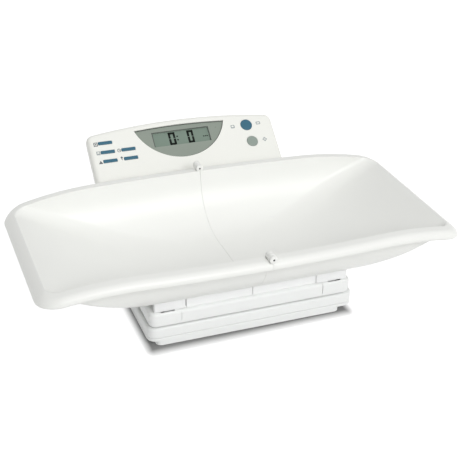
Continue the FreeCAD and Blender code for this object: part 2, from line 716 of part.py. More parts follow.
def display_rear_shell():
    shell = head_slab(0, HEAD_BACK, HEAD_PARTING - 0.2)
    shell = shell.makeChamfer(0.6 * HEAD_EDGE, edges_at(shell, HEAD_BACK))
    shell = shell.cut(head_slab(HEAD_WALL, HEAD_BACK + HEAD_WALL, HEAD_PARTING + 1))
    box_wall = 1.5
    shell = shell.fuse(box((BATTERY_X[0] - box_wall, BATTERY_X[1] + box_wall),
                           (BATTERY_S[0] - box_wall, BATTERY_S[1] + box_wall),
                           (HEAD_BACK + 1, BATTERY_FLOOR + box_wall)))
    shell = shell.cut(box(BATTERY_X, BATTERY_S, (HEAD_BACK - 1, BATTERY_FLOOR)))
    shell = shell.cut(clipped_box((BATTERY_X[0] - 3, BATTERY_X[1] + 3),
                                  (BATTERY_S[0] - 3, BATTERY_S[1] + 3), (HEAD_BACK - 1, HEAD_BACK + 1.6), 3))
    for x, s in HEAD_SCREWS:
        shell = shell.fuse(peg(x, s, (HEAD_BACK + 1, HEAD_PARTING - 0.2), 4.2))
        shell = shell.cut(peg(x, s, (HEAD_BACK - 1, HEAD_PARTING + 1), 1.6))
        shell = shell.cut(peg(x, s, (HEAD_BACK - 1, HEAD_BACK + 4), 3.2))
    return shell.cut(clipped_box((-20, 20), (-4, 10), (HEAD_BACK - 1, HEAD_BACK + 4), 3))


def battery_door():
    """Flush door with a finger groove and a latch tongue."""
    door = clipped_box((BATTERY_X[0] - 2.7, BATTERY_X[1] + 2.7), (BATTERY_S[0] - 2.7, BATTERY_S[1] + 2.7),
                       (HEAD_BACK, HEAD_BACK + 1.5), 2.7)
    middle = (BATTERY_X[0] + BATTERY_X[1]) / 2
    door = door.fuse(box((middle - 8, middle + 8), (BATTERY_S[1] - 1.6, BATTERY_S[1] - 0.4),
                         (HEAD_BACK + 1, HEAD_BACK + 3)))
    for k in range(4):
        s = BATTERY_S[1] - 8 - 3.2 * k
        groove = box((middle - 12, middle + 12), (s - 0.8, s + 0.8), (HEAD_BACK - 1, HEAD_BACK + 0.6))
        door = door.cut(groove)
    return door


def battery_centres():
    middle = (BATTERY_X[0] + BATTERY_X[1]) / 2
    return [middle + CELL_PITCH * (k - 1.5) for k in range(4)]


def battery_cell(x, flip):
    low, depth = BATTERY_S[0] + 3, BATTERY_FLOOR - CELL_RADIUS - 0.9
    cell = rod(x, (low, low + 49), depth, CELL_RADIUS, 16)
    nub_low = low + (49 if flip else -1.2)
    return cell.fuse(box((x - 2, x + 2), (nub_low, nub_low + 1.2), (depth - 2, depth + 2)))


def battery_contacts():
    depth = BATTERY_FLOOR - CELL_RADIUS - 0.9
    plates = []
    for x in battery_centres():
        for s in (BATTERY_S[0] + 0.5, BATTERY_S[1] - 1.1):
            plates.append(box((x - 4.5, x + 4.5), (s, s + 0.6), (depth - 5.5, depth + 5.5)))
    return Part.makeCompound(plates)


def display_window():
    panel = window_slab(2, -4.2, -HEAD_WALL)
    opening = box((-GLASS_HALF_WIDTH, GLASS_HALF_WIDTH), (GLASS_LOW, GLASS_HIGH), (-6, 0))
    return panel.cut(opening)


def display_glass():
    return box((-GLASS_HALF_WIDTH - 3, GLASS_HALF_WIDTH + 3), (GLASS_LOW - 3, GLASS_HIGH + 3), (-6.6, -4.3))


def display_board():
    board = box((-134, 134), (14, 74), (-10.2, -8.6))
    parts = [box((-30, -6), (20, 36), (-12.2, -10.2)), box((20, 30), (20, 30), (-12.6, -10.2)),
             box((-44, 44), (40, 44), (-8.6, -6.7))]
    return board.multiFuse(parts)


def key_mats():
    left = clipped_box((-141, -74), (22, 73), (-8.5, -7.5), 3)
    right = clipped_box((100, 131), (20, 77), (-8.5, -7.5), 3)
    pads = [oblong(x, s, -0.5, -8, -6.9) for x, s in OBLONG_KEYS.values()]
    left = left.multiFuse(pads)
    right = right.multiFuse([peg(x, s, (-8, -6.9), r - 2) for x, s, r in ROUND_KEYS.values()])
    return Part.makeCompound([left, right])


def oblong_key(x, s):
    body = oblong(x, s, 0, -5.6, KEY_PROUD)
    body = body.makeChamfer(0.5, edges_at(body, KEY_PROUD))
    return body.fuse(oblong(x, s, 1.4, -4.6, -3.0))


def round_key(x, s, radius):
    body = peg(x, s, (-3.5, KEY_PROUD), radius, 32)
    return body.fuse(peg(x, s, (-5.6, -3.2), radius + 1.6, 16))


def head_screw(x, s):
    head = HEAD_BACK + 4
    return peg(x, s, (head - 1.8, head), 2.8).fuse(peg(x, s, (head, -6), 1.25))


# ---- arm ------------------------------------------------------------------------------------
def walk(y, z, heading, moves):
    """Edges of a path in the side view; a move is a length, or a (radius, turn to the right)."""
    edges, heading = [], math.radians(heading)
    for move in moves:
        if isinstance(move, tuple):
            radius, turn = move[0], math.radians(move[1])
            points = [(y + radius * (math.sin(heading) - math.sin(heading - a)),
                       z + radius * (math.cos(heading - a) - math.cos(heading))) for a in (turn / 2, turn)]
            edges.append(arc(Vector(0, y, z), Vector(0, *points[0]), Vector(0, *points[1])))
            (y, z), heading = points[1], heading - turn
        else:
            end = (y + move * math.cos(heading), z + move * math.sin(heading))
            edges.append(segment(Vector(0, y, z), Vector(0, *end)))
            y, z = end
    return edges


def between(front, back):
    """Closed profile between two paths that start and end level with each other."""
    first, last = [path[0].valueAt(path[0].FirstParameter) for path in (front, back)]
    ends = [path[-1].valueAt(path[-1].LastParameter) for path in (front, back)]
    return loop(front + back + [segment(first, last), segment(*ends)])


def arm_solid(inset):
    """The arm rises from the base's rear deck and leans back under the head."""
    front = walk(ARM_FRONT + inset, BASE_TOP, 86, [22, (35 - inset, 48), 78])
    back = walk(ARM_BACK - inset, BASE_TOP, 86, [12, (40 + inset, 44), 84])
    half = ARM_HALF_WIDTH - inset
    solid = between(front, back).extrude(Vector(2 * half, 0, 0))
    solid.translate(Vector(-half, 0, 0))
    return solid


def behind_parting(gap):
    """Everything behind the surface where the arm's two shells meet."""
    middle = (ARM_FRONT + ARM_BACK) / 2 + gap
    path = walk(middle, BASE_TOP - 2, 86, [20, (37, 46), 120])
    far = [Vector(0, middle, BASE_TOP - 2), Vector(0, 400, BASE_TOP - 2)]
    tip = path[-1].valueAt(path[-1].LastParameter)
    edges = path + [segment(far[0], far[1]), segment(far[1], tip)]
    solid = loop(edges).extrude(Vector(400, 0, 0))
    solid.translate(Vector(-200, 0, 0))
    return solid


def along_side(edge):
    """Edges that run up the arm on either side."""
    b = edge.BoundBox
    return b.XLength < 0.01 and b.YLength < 70 and b.ZLength > 2 and not (b.ZMin > 110)


def arm_pieces():
    solid = arm_solid(0)
    solid = solid.makeChamfer(ARM_EDGE, [e for e in solid.Edges if along_side(e)])
    shell = solid.cut(arm_solid(ARM_WALL))
    shell = shell.multiFuse([peg(x, y, (BASE_TOP, BASE_TOP + 18), 4.5) for x, y in ARM_SCREWS])
    for x, y in ARM_SCREWS:
        shell = shell.cut(peg(x, y, (BASE_TOP - 1, BASE_TOP + 15), 1.7))
    shell = shell.cut(to_head(head_slab(-0.05, HEAD_BACK - 0.05, 0)))
    front = shell.cut(behind_parting(0))
    back = shell.common(behind_parting(0.3))
    return biggest(front), biggest(back)


def biggest(shape):
    return max(shape.Solids, key=lambda solid: solid.Volume)


def arm_screw(x, y):
    head = BASE_TOP - BASE_WALL
    return peg(x, y, (head - 2, head), 3.4).fuse(peg(x, y, (head, BASE_TOP + 13), 1.6))


# ---- nodes ----------------------------------------------------------------------------------
def group(maker, places):
    return Part.makeCompound([maker(*place) for place in places])


def write_tray():
    form, shell = bowl(TRAY_WALL), tray_shell()
    frame, back_leg = support(form), leg(form)
    front_leg = mirror_y(back_leg)
    screws = group(tray_screw, support_screws() + leg_screws())
    for name, side in (("right", 1), ("left", -1)):
        def place(shape):
            return shape if side > 0 else mirror_x(shape)
        save(f"tray_{name}", tray_half(side, shell))
        save(f"tray_support_{name}", place(frame))
        save(f"tray_leg_rear_{name}", place(back_leg))
        save(f"tray_leg_front_{name}", place(front_leg))
        save(f"tray_screws_{name}", place(screws))
    save("hinge_pin_rear", hinge_pin(1))
    save("hinge_pin_front", hinge_pin(-1))


def write_platform():
    top, caps = platform_pieces()
    save("platform_top", top)
    for node, cap in caps.items():
        save(node, cap)
    save("platform_frame", platform_frame())
    save("platform_screws", group(platform_screw, [(x, y) for x in (-112, 112) for y in (-58, 58)]))
    save("load_cell_bracket", load_cell_bracket())
    save("bracket_screws", group(bracket_screw, bracket_screws()))


def write_base():
    save("base_top_shell", base_top_shell())
    save("base_bottom_cover", base_bottom_cover())
    save("rubber_feet", group(foot, FEET))
    save("base_screws", group(base_screw, BASE_SCREWS))
    save("chassis_plate", chassis_plate())
    save("load_cell", load_cell())
    save("load_cell_spacer", load_cell_spacer())
    save("load_cell_screws", group(spacer_screw, spacer_screws()))
    save("amplifier_board", amplifier_board())


def write_head():
    save("display_front_shell", to_head(display_front_shell()))
    save("display_rear_shell", to_head(display_rear_shell()))
    save("display_window", to_head(display_window()))
    save("display_glass", to_head(display_glass()))
    save("display_board", to_head(display_board()))
    save("key_mats", to_head(key_mats()))
    save("display_screws", to_head(group(head_screw, HEAD_SCREWS)))
    save("battery_door", to_head(battery_door()))
    cells = [battery_cell(x, k % 2) for k, x in enumerate(battery_centres())]
    save("battery_cells", to_head(Part.makeCompound(cells)))
    save("battery_contacts", to_head(battery_contacts()))
    for node, place in OBLONG_KEYS.items():
        save(node, to_head(oblong_key(*place)))
    for node, place in ROUND_KEYS.items():
        save(node, to_head(round_key(*place)))


def write_arm():
    front, back = arm_pieces()
    save("arm_front_shell", front)
    save("arm_rear_shell", back)
    save("arm_screws", group(arm_screw, ARM_SCREWS))


os.makedirs("parts", exist_ok=True)
write_tray()
write_platform()
write_base()
write_head()
write_arm()
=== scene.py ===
import json
import math

import bmesh
import bpy
from mathutils import Matrix, Vector


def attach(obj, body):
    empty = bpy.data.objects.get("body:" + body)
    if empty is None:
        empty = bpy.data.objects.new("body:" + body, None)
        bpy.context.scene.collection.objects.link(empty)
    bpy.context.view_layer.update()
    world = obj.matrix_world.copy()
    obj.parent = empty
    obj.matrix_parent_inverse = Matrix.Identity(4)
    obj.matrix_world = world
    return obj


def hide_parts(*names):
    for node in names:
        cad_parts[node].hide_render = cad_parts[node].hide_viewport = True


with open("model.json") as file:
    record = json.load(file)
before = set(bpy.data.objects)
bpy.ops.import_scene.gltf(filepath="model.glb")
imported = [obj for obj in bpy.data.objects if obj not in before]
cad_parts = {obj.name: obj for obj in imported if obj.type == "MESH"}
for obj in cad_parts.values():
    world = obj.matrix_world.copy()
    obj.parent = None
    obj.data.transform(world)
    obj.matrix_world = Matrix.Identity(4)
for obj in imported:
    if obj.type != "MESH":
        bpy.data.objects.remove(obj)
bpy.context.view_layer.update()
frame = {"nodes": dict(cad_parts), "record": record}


# ---- Weighing tray --------------------------------------------------------------------------
# Two thin halves, injection-moulded in white ABS, meet at a seam across the middle.  The floor
# runs up steeply to the long sides and gently to the ends, and a rolled rim with a turned-down
# lip goes all round.

class Socket:
    """A shader socket that can be used in a plain expression."""

    def __init__(self, tree, link=None):
        self.tree, self.link = tree, link

    def node(self, kind, settings=(), **inputs):
        """First output of a new node; an input is called by its name or by _ and its number."""
        made = self.tree.nodes.new(kind)
        for name, value in dict(settings).items():
            setattr(made, name, value)
        for name, value in inputs.items():
            name = int(name[1:]) if name[0] == "_" else name.replace("_", " ")
            if isinstance(value, Socket):
                self.tree.links.new(value.link, made.inputs[name])
            else:
                made.inputs[name].default_value = value
        return Socket(self.tree, made.outputs[0])

    def output(self, name):
        """Another output of the node that this socket belongs to."""
        return Socket(self.tree, self.link.node.outputs[name])

    def math(self, operation, *values):
        inputs = {f"_{k}": value for k, value in enumerate(values)}
        return self.node("ShaderNodeMath", {"operation": operation}, **inputs)

    def __add__(self, other):
        return self.math("ADD", self, other)

    def __radd__(self, other):
        return self.math("ADD", other, self)

    def __sub__(self, other):
        return self.math("SUBTRACT", self, other)

    def __rsub__(self, other):
        return self.math("SUBTRACT", other, self)

    def __mul__(self, other):
        return self.math("MULTIPLY", self, other)

    def __rmul__(self, other):
        return self.math("MULTIPLY", other, self)

    def noise(self, scale, detail=2.0):
        made = self.node("ShaderNodeTexNoise", Vector=self, Scale=scale, Detail=detail)
        return made.output("Fac")

    def between(self, first, second):
        """Colour that runs from first to second as this value goes from 0 to 1."""
        colours = {"_6": (*first, 1), "_7": (*second, 1)}
        return self.node("ShaderNodeMix", {"data_type": "RGBA"}, _0=self, **colours).output(2)


def finish(name, roughness, **fixed):
    """New material, its shader and its Object coordinates."""
    material = bpy.data.materials.new(name)
    material.use_nodes = True
    tree = material.node_tree
    shader = tree.nodes["Principled BSDF"]
    shader.inputs["Roughness"].default_value = roughness
    for socket, value in fixed.items():
        shader.inputs[socket.replace("_", " ")].default_value = value
    return material, shader, Socket(tree).node("ShaderNodeTexCoord").output("Object")


def connect(shader, name, value):
    value.tree.links.new(value.link, shader.inputs[name])


COLOUR_CLOUDS, GLOSS_CLOUDS, GRAIN, GRAIN_DEPTH = 9.0, 60.0, 1800.0, 0.0002
UNEVEN_GLOSS = 0.10


def moulded(name, colour, roughness=0.38, spread=0.03, grain=0.05, **fixed):
    """Satin plastic: the colour hardly varies, the gloss a little more."""
    material, shader, place = finish(name, roughness, IOR=1.5, **fixed)
    darker = tuple(c * (1 - spread) for c in colour)
    connect(shader, "Base Color", place.noise(COLOUR_CLOUDS).between(darker, colour))
    gloss = roughness - UNEVEN_GLOSS / 2 + place.noise(GLOSS_CLOUDS) * UNEVEN_GLOSS
    connect(shader, "Roughness", gloss)
    connect(shader, "Normal", place.node("ShaderNodeBump", Strength=grain, Distance=GRAIN_DEPTH,
                                         Height=place.noise(GRAIN)))
    return material


TRAY_WHITE = moulded("tray white", (0.865, 0.872, 0.842))
MM = 0.001                               # sizes are written in millimetres
MIDDLE = Vector((0, -57.4, 0)) * MM      # pieces are drawn about the middle of the tray


def smooth(mesh, angle=35):
    """Smooth shading, with edges sharper than the angle kept crisp."""
    mesh.polygons.foreach_set("use_smooth", [True] * len(mesh.polygons))
    mesh.set_sharp_from_angle(angle=math.radians(angle))


def add_piece(name, bm, body, slot, material, *replaced, angle=35):
    """Turns a finished bmesh into a shaded piece that rides on its body."""
    bmesh.ops.translate(bm, verts=bm.verts, vec=MIDDLE)
    bmesh.ops.recalc_face_normals(bm, faces=bm.faces)
    mesh = bpy.data.meshes.new(name)
    bm.to_mesh(mesh)
    bm.free()
    mesh.materials.append(material)
    smooth(mesh, angle)
    obj = bpy.data.objects.new(name, mesh)
    bpy.context.scene.collection.objects.link(obj)
    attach(obj, body)
    if replaced:
        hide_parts(*replaced)
    return obj


HALF_LENGTH, HALF_WIDTH, SIDE_RADIUS = 311.0, 158.2, 2660.0
WALL, FLOOR = 3.0, 68.7
RIM_TOP, RIM_FLAT, RIM_DROP, RIM_CORNER = 148.4, 172.0, 559.0, 32.5
LEAST_CORNER = 18.0
SEAM = 0.15
# Half width of the level floor, then the arcs that a wall rises in: radius and degrees turned.
SIDE_CURVE = (51.5, ((108.0, 17.5), (75.0, 59.3)))
END_CURVE = (64.0, ((412.0, 25.6),))
# Plan corner under the rim, and how much more it is at the floor.
CORNER_INSIDE, CORNER_OUTSIDE = (22.0, 16.0), (14.0, 8.0)
FLOOR_BOW, FLOOR_CORNER, FIRST_END = 0.15, 20.0, 280.0


def rim_height(x):
    """Height of the rim's crest: level about the middle, then falling in an arc."""
    run = max(abs(x) - RIM_FLAT, 0)
    return RIM_TOP - RIM_DROP + math.sqrt(RIM_DROP ** 2 - run ** 2)


def bow(x):
    """How far a long side has come in from its middle at x."""
    return SIDE_RADIUS - math.sqrt(SIDE_RADIUS ** 2 - x ** 2)


def reach(curve, height, outside):
    """Distance from the middle at which a wall has risen to height over the floor."""
    level, arcs = curve
    out, up, slope = level, 0.0, 0.0
    for radius, turn in arcs:
        radius += WALL if outside else 0
        end = slope + math.radians(turn)
        rise = radius * (math.cos(slope) - math.cos(end))
        if height <= up + rise:
            here = math.acos(math.cos(slope) - (height - up) / radius)
            return out + radius * (math.sin(here) - math.sin(slope))
        out, up, slope = out + radius * (math.sin(end) - math.sin(slope)), up + rise, end
    return out + (height - up) / math.tan(slope)


SIDE_STEPS, CORNER_STEPS, END_STEPS = 56, 14, 20


def tray_ring(width_at, end, corner, height_at):
    """One line round the right half: back side, corner, end, corner, front side."""
    quarter = []
    for k in range(SIDE_STEPS):
        x = SEAM + (end - corner - SEAM) * k / SIDE_STEPS
        quarter.append((x, width_at(x)))
    for k in range(CORNER_STEPS):
        angle = math.pi / 2 * k / CORNER_STEPS
        x = end - corner + corner * math.sin(angle)
        quarter.append((x, width_at(x) - corner * (1 - math.cos(angle))))
    start = width_at(end) - corner
    quarter += [(end, start * (1 - k / END_STEPS)) for k in range(END_STEPS + 1)]
    turns = [min(max(k - SIDE_STEPS, 0) / CORNER_STEPS, 1) for k in range(len(quarter))]
    half = [Vector((x, y, height_at(x, turn))) for (x, y), turn in zip(quarter, turns)]
    return half + [Vector((p.x, -p.y, p.z)) for p in half[-2::-1]]


def rim_ring(side, end):
    """Line on the rim; side and end are its inset and its drop on the long sides and at the end."""
    corner = max(RIM_CORNER - (side[0] + end[0]) / 2, LEAST_CORNER)
    return tray_ring(lambda x: HALF_WIDTH - side[0] - bow(x), HALF_LENGTH - end[0], corner,
                     lambda x, turn: rim_height(x) - side[1] * (1 - turn) - end[1] * turn)


def wall_ring(part, outside):
    """Line at a constant share of the way from the floor (0) to under the rim (1)."""
    floor = FLOOR - (WALL if outside else 0)
    under = WALL if outside else 0.0

    def height(x, turn=0):
        return floor + (rim_height(x) - under - floor) * part

    end = FIRST_END
    for _ in range(25):         # the wall's height falls with x, so its end is found in steps
        end = reach(END_CURVE, height(end) - floor, outside)
    corner, more = CORNER_OUTSIDE if outside else CORNER_INSIDE
    share = FLOOR_BOW + (1 - FLOOR_BOW) * part ** 2
    side = reach(SIDE_CURVE, (RIM_TOP - under - floor) * part, outside)
    return tray_ring(lambda x: side - bow(x) * share, end, corner + more * (1 - part), height)


def floor_ring(share, outside):
    """Line on the level floor, at share of the way out from its middle."""
    floor = FLOOR - (WALL if outside else 0)
    half, end = SIDE_CURVE[0] * share, SEAM + (END_CURVE[0] - SEAM) * share
    return tray_ring(lambda x: half - bow(x) * FLOOR_BOW, end, FLOOR_CORNER * share,
                     lambda x, turn: floor)


def bend(first, corner, last, share):
    """Line at share of the way along the curve that rounds off a corner line."""
    a, b, c = (1 - share) ** 2, 2 * share * (1 - share), share ** 2
    return [p * a + q * b + r * c for p, q, r in zip(first, corner, last)]


SIDE_FLAT, SIDE_ROUND, SIDE_DROP = 9.0, 10.2, 8.9
END_ROLL, END_DROP, END_SLANT = 15.4, 9.8, 0.6
SIDE_LIP, END_LIP, LIP_EDGE = 13.2, 11.6, 2.2
LEVEL, LEVEL_DROP = 0.25, 0.3            # part of a side's roll that is nearly level


def side_roll(share):
    """Inset and drop on a long side: nearly level next to the crest (0), then round (1)."""
    level = min(share / LEVEL, 1)
    angle = math.pi / 2 * max(share - LEVEL, 0) / (1 - LEVEL)
    return Vector((SIDE_FLAT * (1 - level) + SIDE_ROUND * (1 - math.sin(angle)),
                   LEVEL_DROP * level + (SIDE_DROP - LEVEL_DROP) * (1 - math.cos(angle))))


def end_roll(share):
    """Inset and drop at an end: part slanted, part round."""
    angle = math.pi / 2 * share
    out = END_SLANT * share + (1 - END_SLANT) * math.sin(angle)
    down = END_SLANT * share + (1 - END_SLANT) * (1 - math.cos(angle))
    return Vector((END_ROLL * (1 - out), END_DROP * down))


def under_roll(roll, share):
    """Point of the rim's underside, a wall's thickness below roll at share."""
    step = roll(min(share + 0.01, 1)) - roll(share - 0.01)
    return roll(share) + Vector((step.y, -step.x)).normalized() * WALL


def lip_ring(inset, below):
    """Line on the turned-down lip, a little above its lower edge."""
    return rim_ring((inset, SIDE_LIP - below), (inset, END_LIP - below))


FLOOR_STEPS = (0, 0.35, 0.7)
WALL_STEPS, BEND_STEPS, ROLL_STEPS, EDGE_STEPS, UNDER_STEPS = 26, 6, 16, 4, 8
CROWDING = 1.7                           # brings the lines closer together near the floor
WALL_END = 0.965                         # share of the wall's height where the rim's bend starts

crest = rim_ring(side_roll(0), end_roll(0))
wall_bend = (wall_ring(WALL_END, False), wall_ring(1, False), crest)
outer_edge = (rim_ring(side_roll(1), end_roll(1)), lip_ring(0, 0), lip_ring(LIP_EDGE, 0))
rings = [floor_ring(share, False) for share in FLOOR_STEPS]
rings += [wall_ring(WALL_END * (k / WALL_STEPS) ** CROWDING, False) for k in range(WALL_STEPS)]
rings += [bend(*wall_bend, k / BEND_STEPS) for k in range(BEND_STEPS)]
rings += [rim_ring(side_roll(k / ROLL_STEPS), end_roll(k / ROLL_STEPS))
          for k in range(ROLL_STEPS + 1)]
rings += [bend(*outer_edge, k / EDGE_STEPS) for k in range(1, EDGE_STEPS + 1)]
rings += [lip_ring(WALL, 0)]
rings += [rim_ring(under_roll(side_roll, k / UNDER_STEPS), under_roll(end_roll, k / UNDER_STEPS))
          for k in range(UNDER_STEPS, 0, -1)]
rings += [wall_ring((1 - k / WALL_STEPS) ** CROWDING, True) for k in range(WALL_STEPS)]
rings += [floor_ring(share, True) for share in FLOOR_STEPS[::-1]]


def fill(bm, edges):
    """Flat face inside one closed loop of edges, with any loops in it left open."""
    bmesh.ops.triangle_fill(bm, use_beauty=True, edges=edges)


def wrap(bm, rings):
    """Skins a list of point lines with a grid of faces."""
    across, along = len(rings[0]) - 1, len(rings) - 1
    made = bmesh.ops.create_grid(bm, x_segments=across, y_segments=along, size=1)
    for vert in made["verts"]:
        column = round((vert.co.x + 1) / 2 * across)
        row = round((vert.co.y + 1) / 2 * along)
        vert.co = rings[row][column] * MM
    bmesh.ops.remove_doubles(bm, verts=bm.verts, dist=1e-6)


def drum(radius, length, segments=48):
    """Cylinder along Y about the origin."""
    bm = bmesh.new()
    bmesh.ops.create_cone(bm, cap_ends=True, segments=segments, radius1=radius * MM,
                          radius2=radius * MM, depth=length * MM)
    bmesh.ops.rotate(bm, verts=bm.verts, matrix=Matrix.Rotation(math.pi / 2, 3, "X"))
    return bm


def move(bm, x, y, z):
    """Shifts a whole shape by x, y and z."""
    bmesh.ops.translate(bm, verts=bm.verts, vec=Vector((x, y, z)) * MM)


def cut_away(obj, bm):
    """Takes the shape in bm out of obj's mesh."""
    bmesh.ops.translate(bm, verts=bm.verts, vec=MIDDLE)
    mesh = bpy.data.meshes.new("cutter")
    bm.to_mesh(mesh)
    bm.free()
    cutter = bpy.data.objects.new("cutter", mesh)
    bpy.context.scene.collection.objects.link(cutter)
    modifier = obj.modifiers.new("cut", "BOOLEAN")
    modifier.object, modifier.operation, modifier.solver = cutter, "DIFFERENCE", "EXACT"
    graph = bpy.context.evaluated_depsgraph_get()
    graph.update()
    cut = bpy.data.meshes.new_from_object(obj.evaluated_get(graph))
    obj.modifiers.clear()
    obj.data = cut
    smooth(cut)
    bpy.data.objects.remove(cutter)


HINGE_Z, BARREL, ROOM, KNUCKLE_PLAY = 151.4, 5.7, 6.5, 0.4
KNUCKLES = {"tray_right": ((140.0, 145.8), (152.4, 158.2)), "tray_left": ((146.2, 152.0),)}

for node, body, sign in (("tray_right", "tray_right_half", 1), ("tray_left", "tray_left_half", -1)):
    bm = bmesh.new()
    wrap(bm, rings)
    fill(bm, [e for e in bm.edges if e.is_boundary])
    if sign < 0:
        bmesh.ops.scale(bm, verts=bm.verts, vec=(-1, 1, 1))
    shell = add_piece(node + "_shell", bm, body, "tray_white", TRAY_WHITE, node)
    other = "tray_left" if sign > 0 else "tray_right"
    for low, high in KNUCKLES[other]:
        for side in (1, -1):
            notch = drum(ROOM, high - low + 2 * KNUCKLE_PLAY)
            move(notch, 0, side * (low + high) / 2, HINGE_Z)
            cut_away(shell, notch)


# ---- Rim hinges -----------------------------------------------------------------------------
# Three moulded knuckles per hinge, two on the right half and one on the left, turn on a steel
# pin whose dark end sits a little deep in the outer knuckle.

PIN_HOLE, HINGE_MIDDLE, DRILL, KNUCKLE_EDGE = 1.6, 149.0, 60.0, 0.7
DARK_STEEL, shader, place = finish("dark steel", 0.45, Metallic=0.6)
connect(shader, "Base Color", place.noise(300.0).between((0.03, 0.03, 0.035), (0.06, 0.06, 0.06)))


def round_off(bm, edges, radius, steps):
    """Rounds the edges."""
    bmesh.ops.bevel(bm, geom=edges, offset=radius * MM, segments=steps, profile=0.5,
                    affect="EDGES", material=-1)


for node, body in (("tray_right", "tray_right_half"), ("tray_left", "tray_left_half")):
    for index, (low, high) in enumerate(KNUCKLES[node]):
        for name, side in (("rear", 1), ("front", -1)):
            bm = drum(BARREL, high - low, 40)
            rims = [e for e in bm.edges if abs(e.verts[0].co.y - e.verts[1].co.y) < 1e-6]
            round_off(bm, rims, KNUCKLE_EDGE, 3)
            move(bm, 0, side * (low + high) / 2, HINGE_Z)
            knuckle = add_piece(f"{node}_knuckle_{name}_{index}", bm, body, "tray_white",
                                TRAY_WHITE)
            hole = drum(PIN_HOLE, DRILL, 24)
            move(hole, 0, side * HINGE_MIDDLE, HINGE_Z)
            cut_away(knuckle, hole)


# ---- Platform and its corner caps -----------------------------------------------------------
# A moulded top shell of white ABS with softly rounded edges.  The four corner caps sit in shallow
# seats, stand a little proud, and each has a slot that takes a tongue of the tray.

def edges_at(bm, z):
    """Edges that lie level at height z."""
    return [e for e in bm.edges if all(abs(v.co.z - z * MM) < 1e-6 for v in e.verts)]


def slab(x, y, z, corner, above=0.0, below=0.0, steps=6):
    """Box with rounded upright edges, and rounded edges above and below."""
    bm = bmesh.new()
    size = [Vector(pair) for pair in (x, y, z)]
    bmesh.ops.create_cube(bm, size=1)
    bmesh.ops.scale(bm, verts=bm.verts, vec=[(s[1] - s[0]) * MM for s in size])
    move(bm, *[(s[0] + s[1]) / 2 for s in size])
    upright = [e for e in bm.edges if abs(e.verts[0].co.z - e.verts[1].co.z) > 1e-6]
    round_off(bm, upright, corner, steps)
    for height, radius in ((z[1], above), (z[0], below)):
        if radius:
            round_off(bm, edges_at(bm, height), radius, steps)
    return bm


SHARP = 0.01                             # a corner too small to see


def block(x, y, z):
    """Box with sharp edges."""
    return slab(x, y, z, SHARP, steps=1)


BASE_WHITE = moulded("base white", (0.835, 0.848, 0.838))
PLATFORM_X, PLATFORM_Y, PLATFORM_Z = 152.6, 95.6, (36.1, 57.2)
PLATFORM_CORNER, PLATFORM_EDGE, PLATFORM_FOOT_EDGE = 10.0, 5.0, 1.6
CAP_START, CAP_BACK, CAP_LOW, CAP_PROUD = 108.0, 60.0, 40.5, 0.6
GROOVE, GROOVE_DEPTH, UNDER_CAP = 0.7, 1.5, 0.1  # beside each cap, in the platform's face
SLOT_X, SLOT_Y, SLOT_FLOOR = (117.0, 137.2), (84.4, 93.4), 45.0
UNDER, OVER = 30.0, 80.0                 # heights below and above all that is cut here
CLEAR = 2.0                              # how far a cutter stands out of a face

bm = slab((-PLATFORM_X, PLATFORM_X), (-PLATFORM_Y, PLATFORM_Y), PLATFORM_Z,
          PLATFORM_CORNER, PLATFORM_EDGE, PLATFORM_FOOT_EDGE)
platform = add_piece("platform_shell", bm, "platform", "base_white", BASE_WHITE, "platform_top")
wide, deep = PLATFORM_X + CAP_PROUD, PLATFORM_Y + CAP_PROUD
for sx in (1, -1):
    for sy in (1, -1):
        x_slot = sorted((sx * SLOT_X[0], sx * SLOT_X[1]))
        y_slot = sorted((sy * SLOT_Y[0], sy * SLOT_Y[1]))
        cap = slab((-wide, wide), (-deep, deep), (CAP_LOW, PLATFORM_Z[1] + CAP_PROUD),
                   PLATFORM_CORNER + CAP_PROUD, PLATFORM_EDGE)
        for normal, at in (((-sx, 0, 0), sx * CAP_START), ((0, -sy, 0), sy * CAP_BACK)):
            spot = [at * MM * abs(n) for n in normal]
            made = bmesh.ops.bisect_plane(cap, geom=cap.verts[:] + cap.edges[:] + cap.faces[:],
                                          plane_co=spot, plane_no=normal, clear_outer=True)
            edges = [e for e in made["geom_cut"] if isinstance(e, bmesh.types.BMEdge)]
            bmesh.ops.contextual_create(cap, geom=edges)
        name = f"cap_{'rear' if sy > 0 else 'front'}_{'right' if sx > 0 else 'left'}"
        corner = add_piece(name + "_cover", cap, "platform", "base_white", BASE_WHITE, name)
        cut_away(corner, block(x_slot, y_slot, (UNDER, OVER)))
        cut_away(platform, block(x_slot, y_slot, (SLOT_FLOOR, OVER)))
        groove_x = sorted((sx * (CAP_START - GROOVE), sx * (CAP_START + UNDER_CAP)))
        groove_y = sorted((sy * (PLATFORM_Y - GROOVE_DEPTH), sy * (PLATFORM_Y + CLEAR)))
        cut_away(platform, block(groove_x, groove_y, (CAP_LOW, OVER)))


# ---- Base -----------------------------------------------------------------------------------
# Top shell and bottom cover of white ABS meet at a fine parting groove.  A well in the raised
# top lets the load cell's bracket through, and an inset plinth stands on four rubber feet.

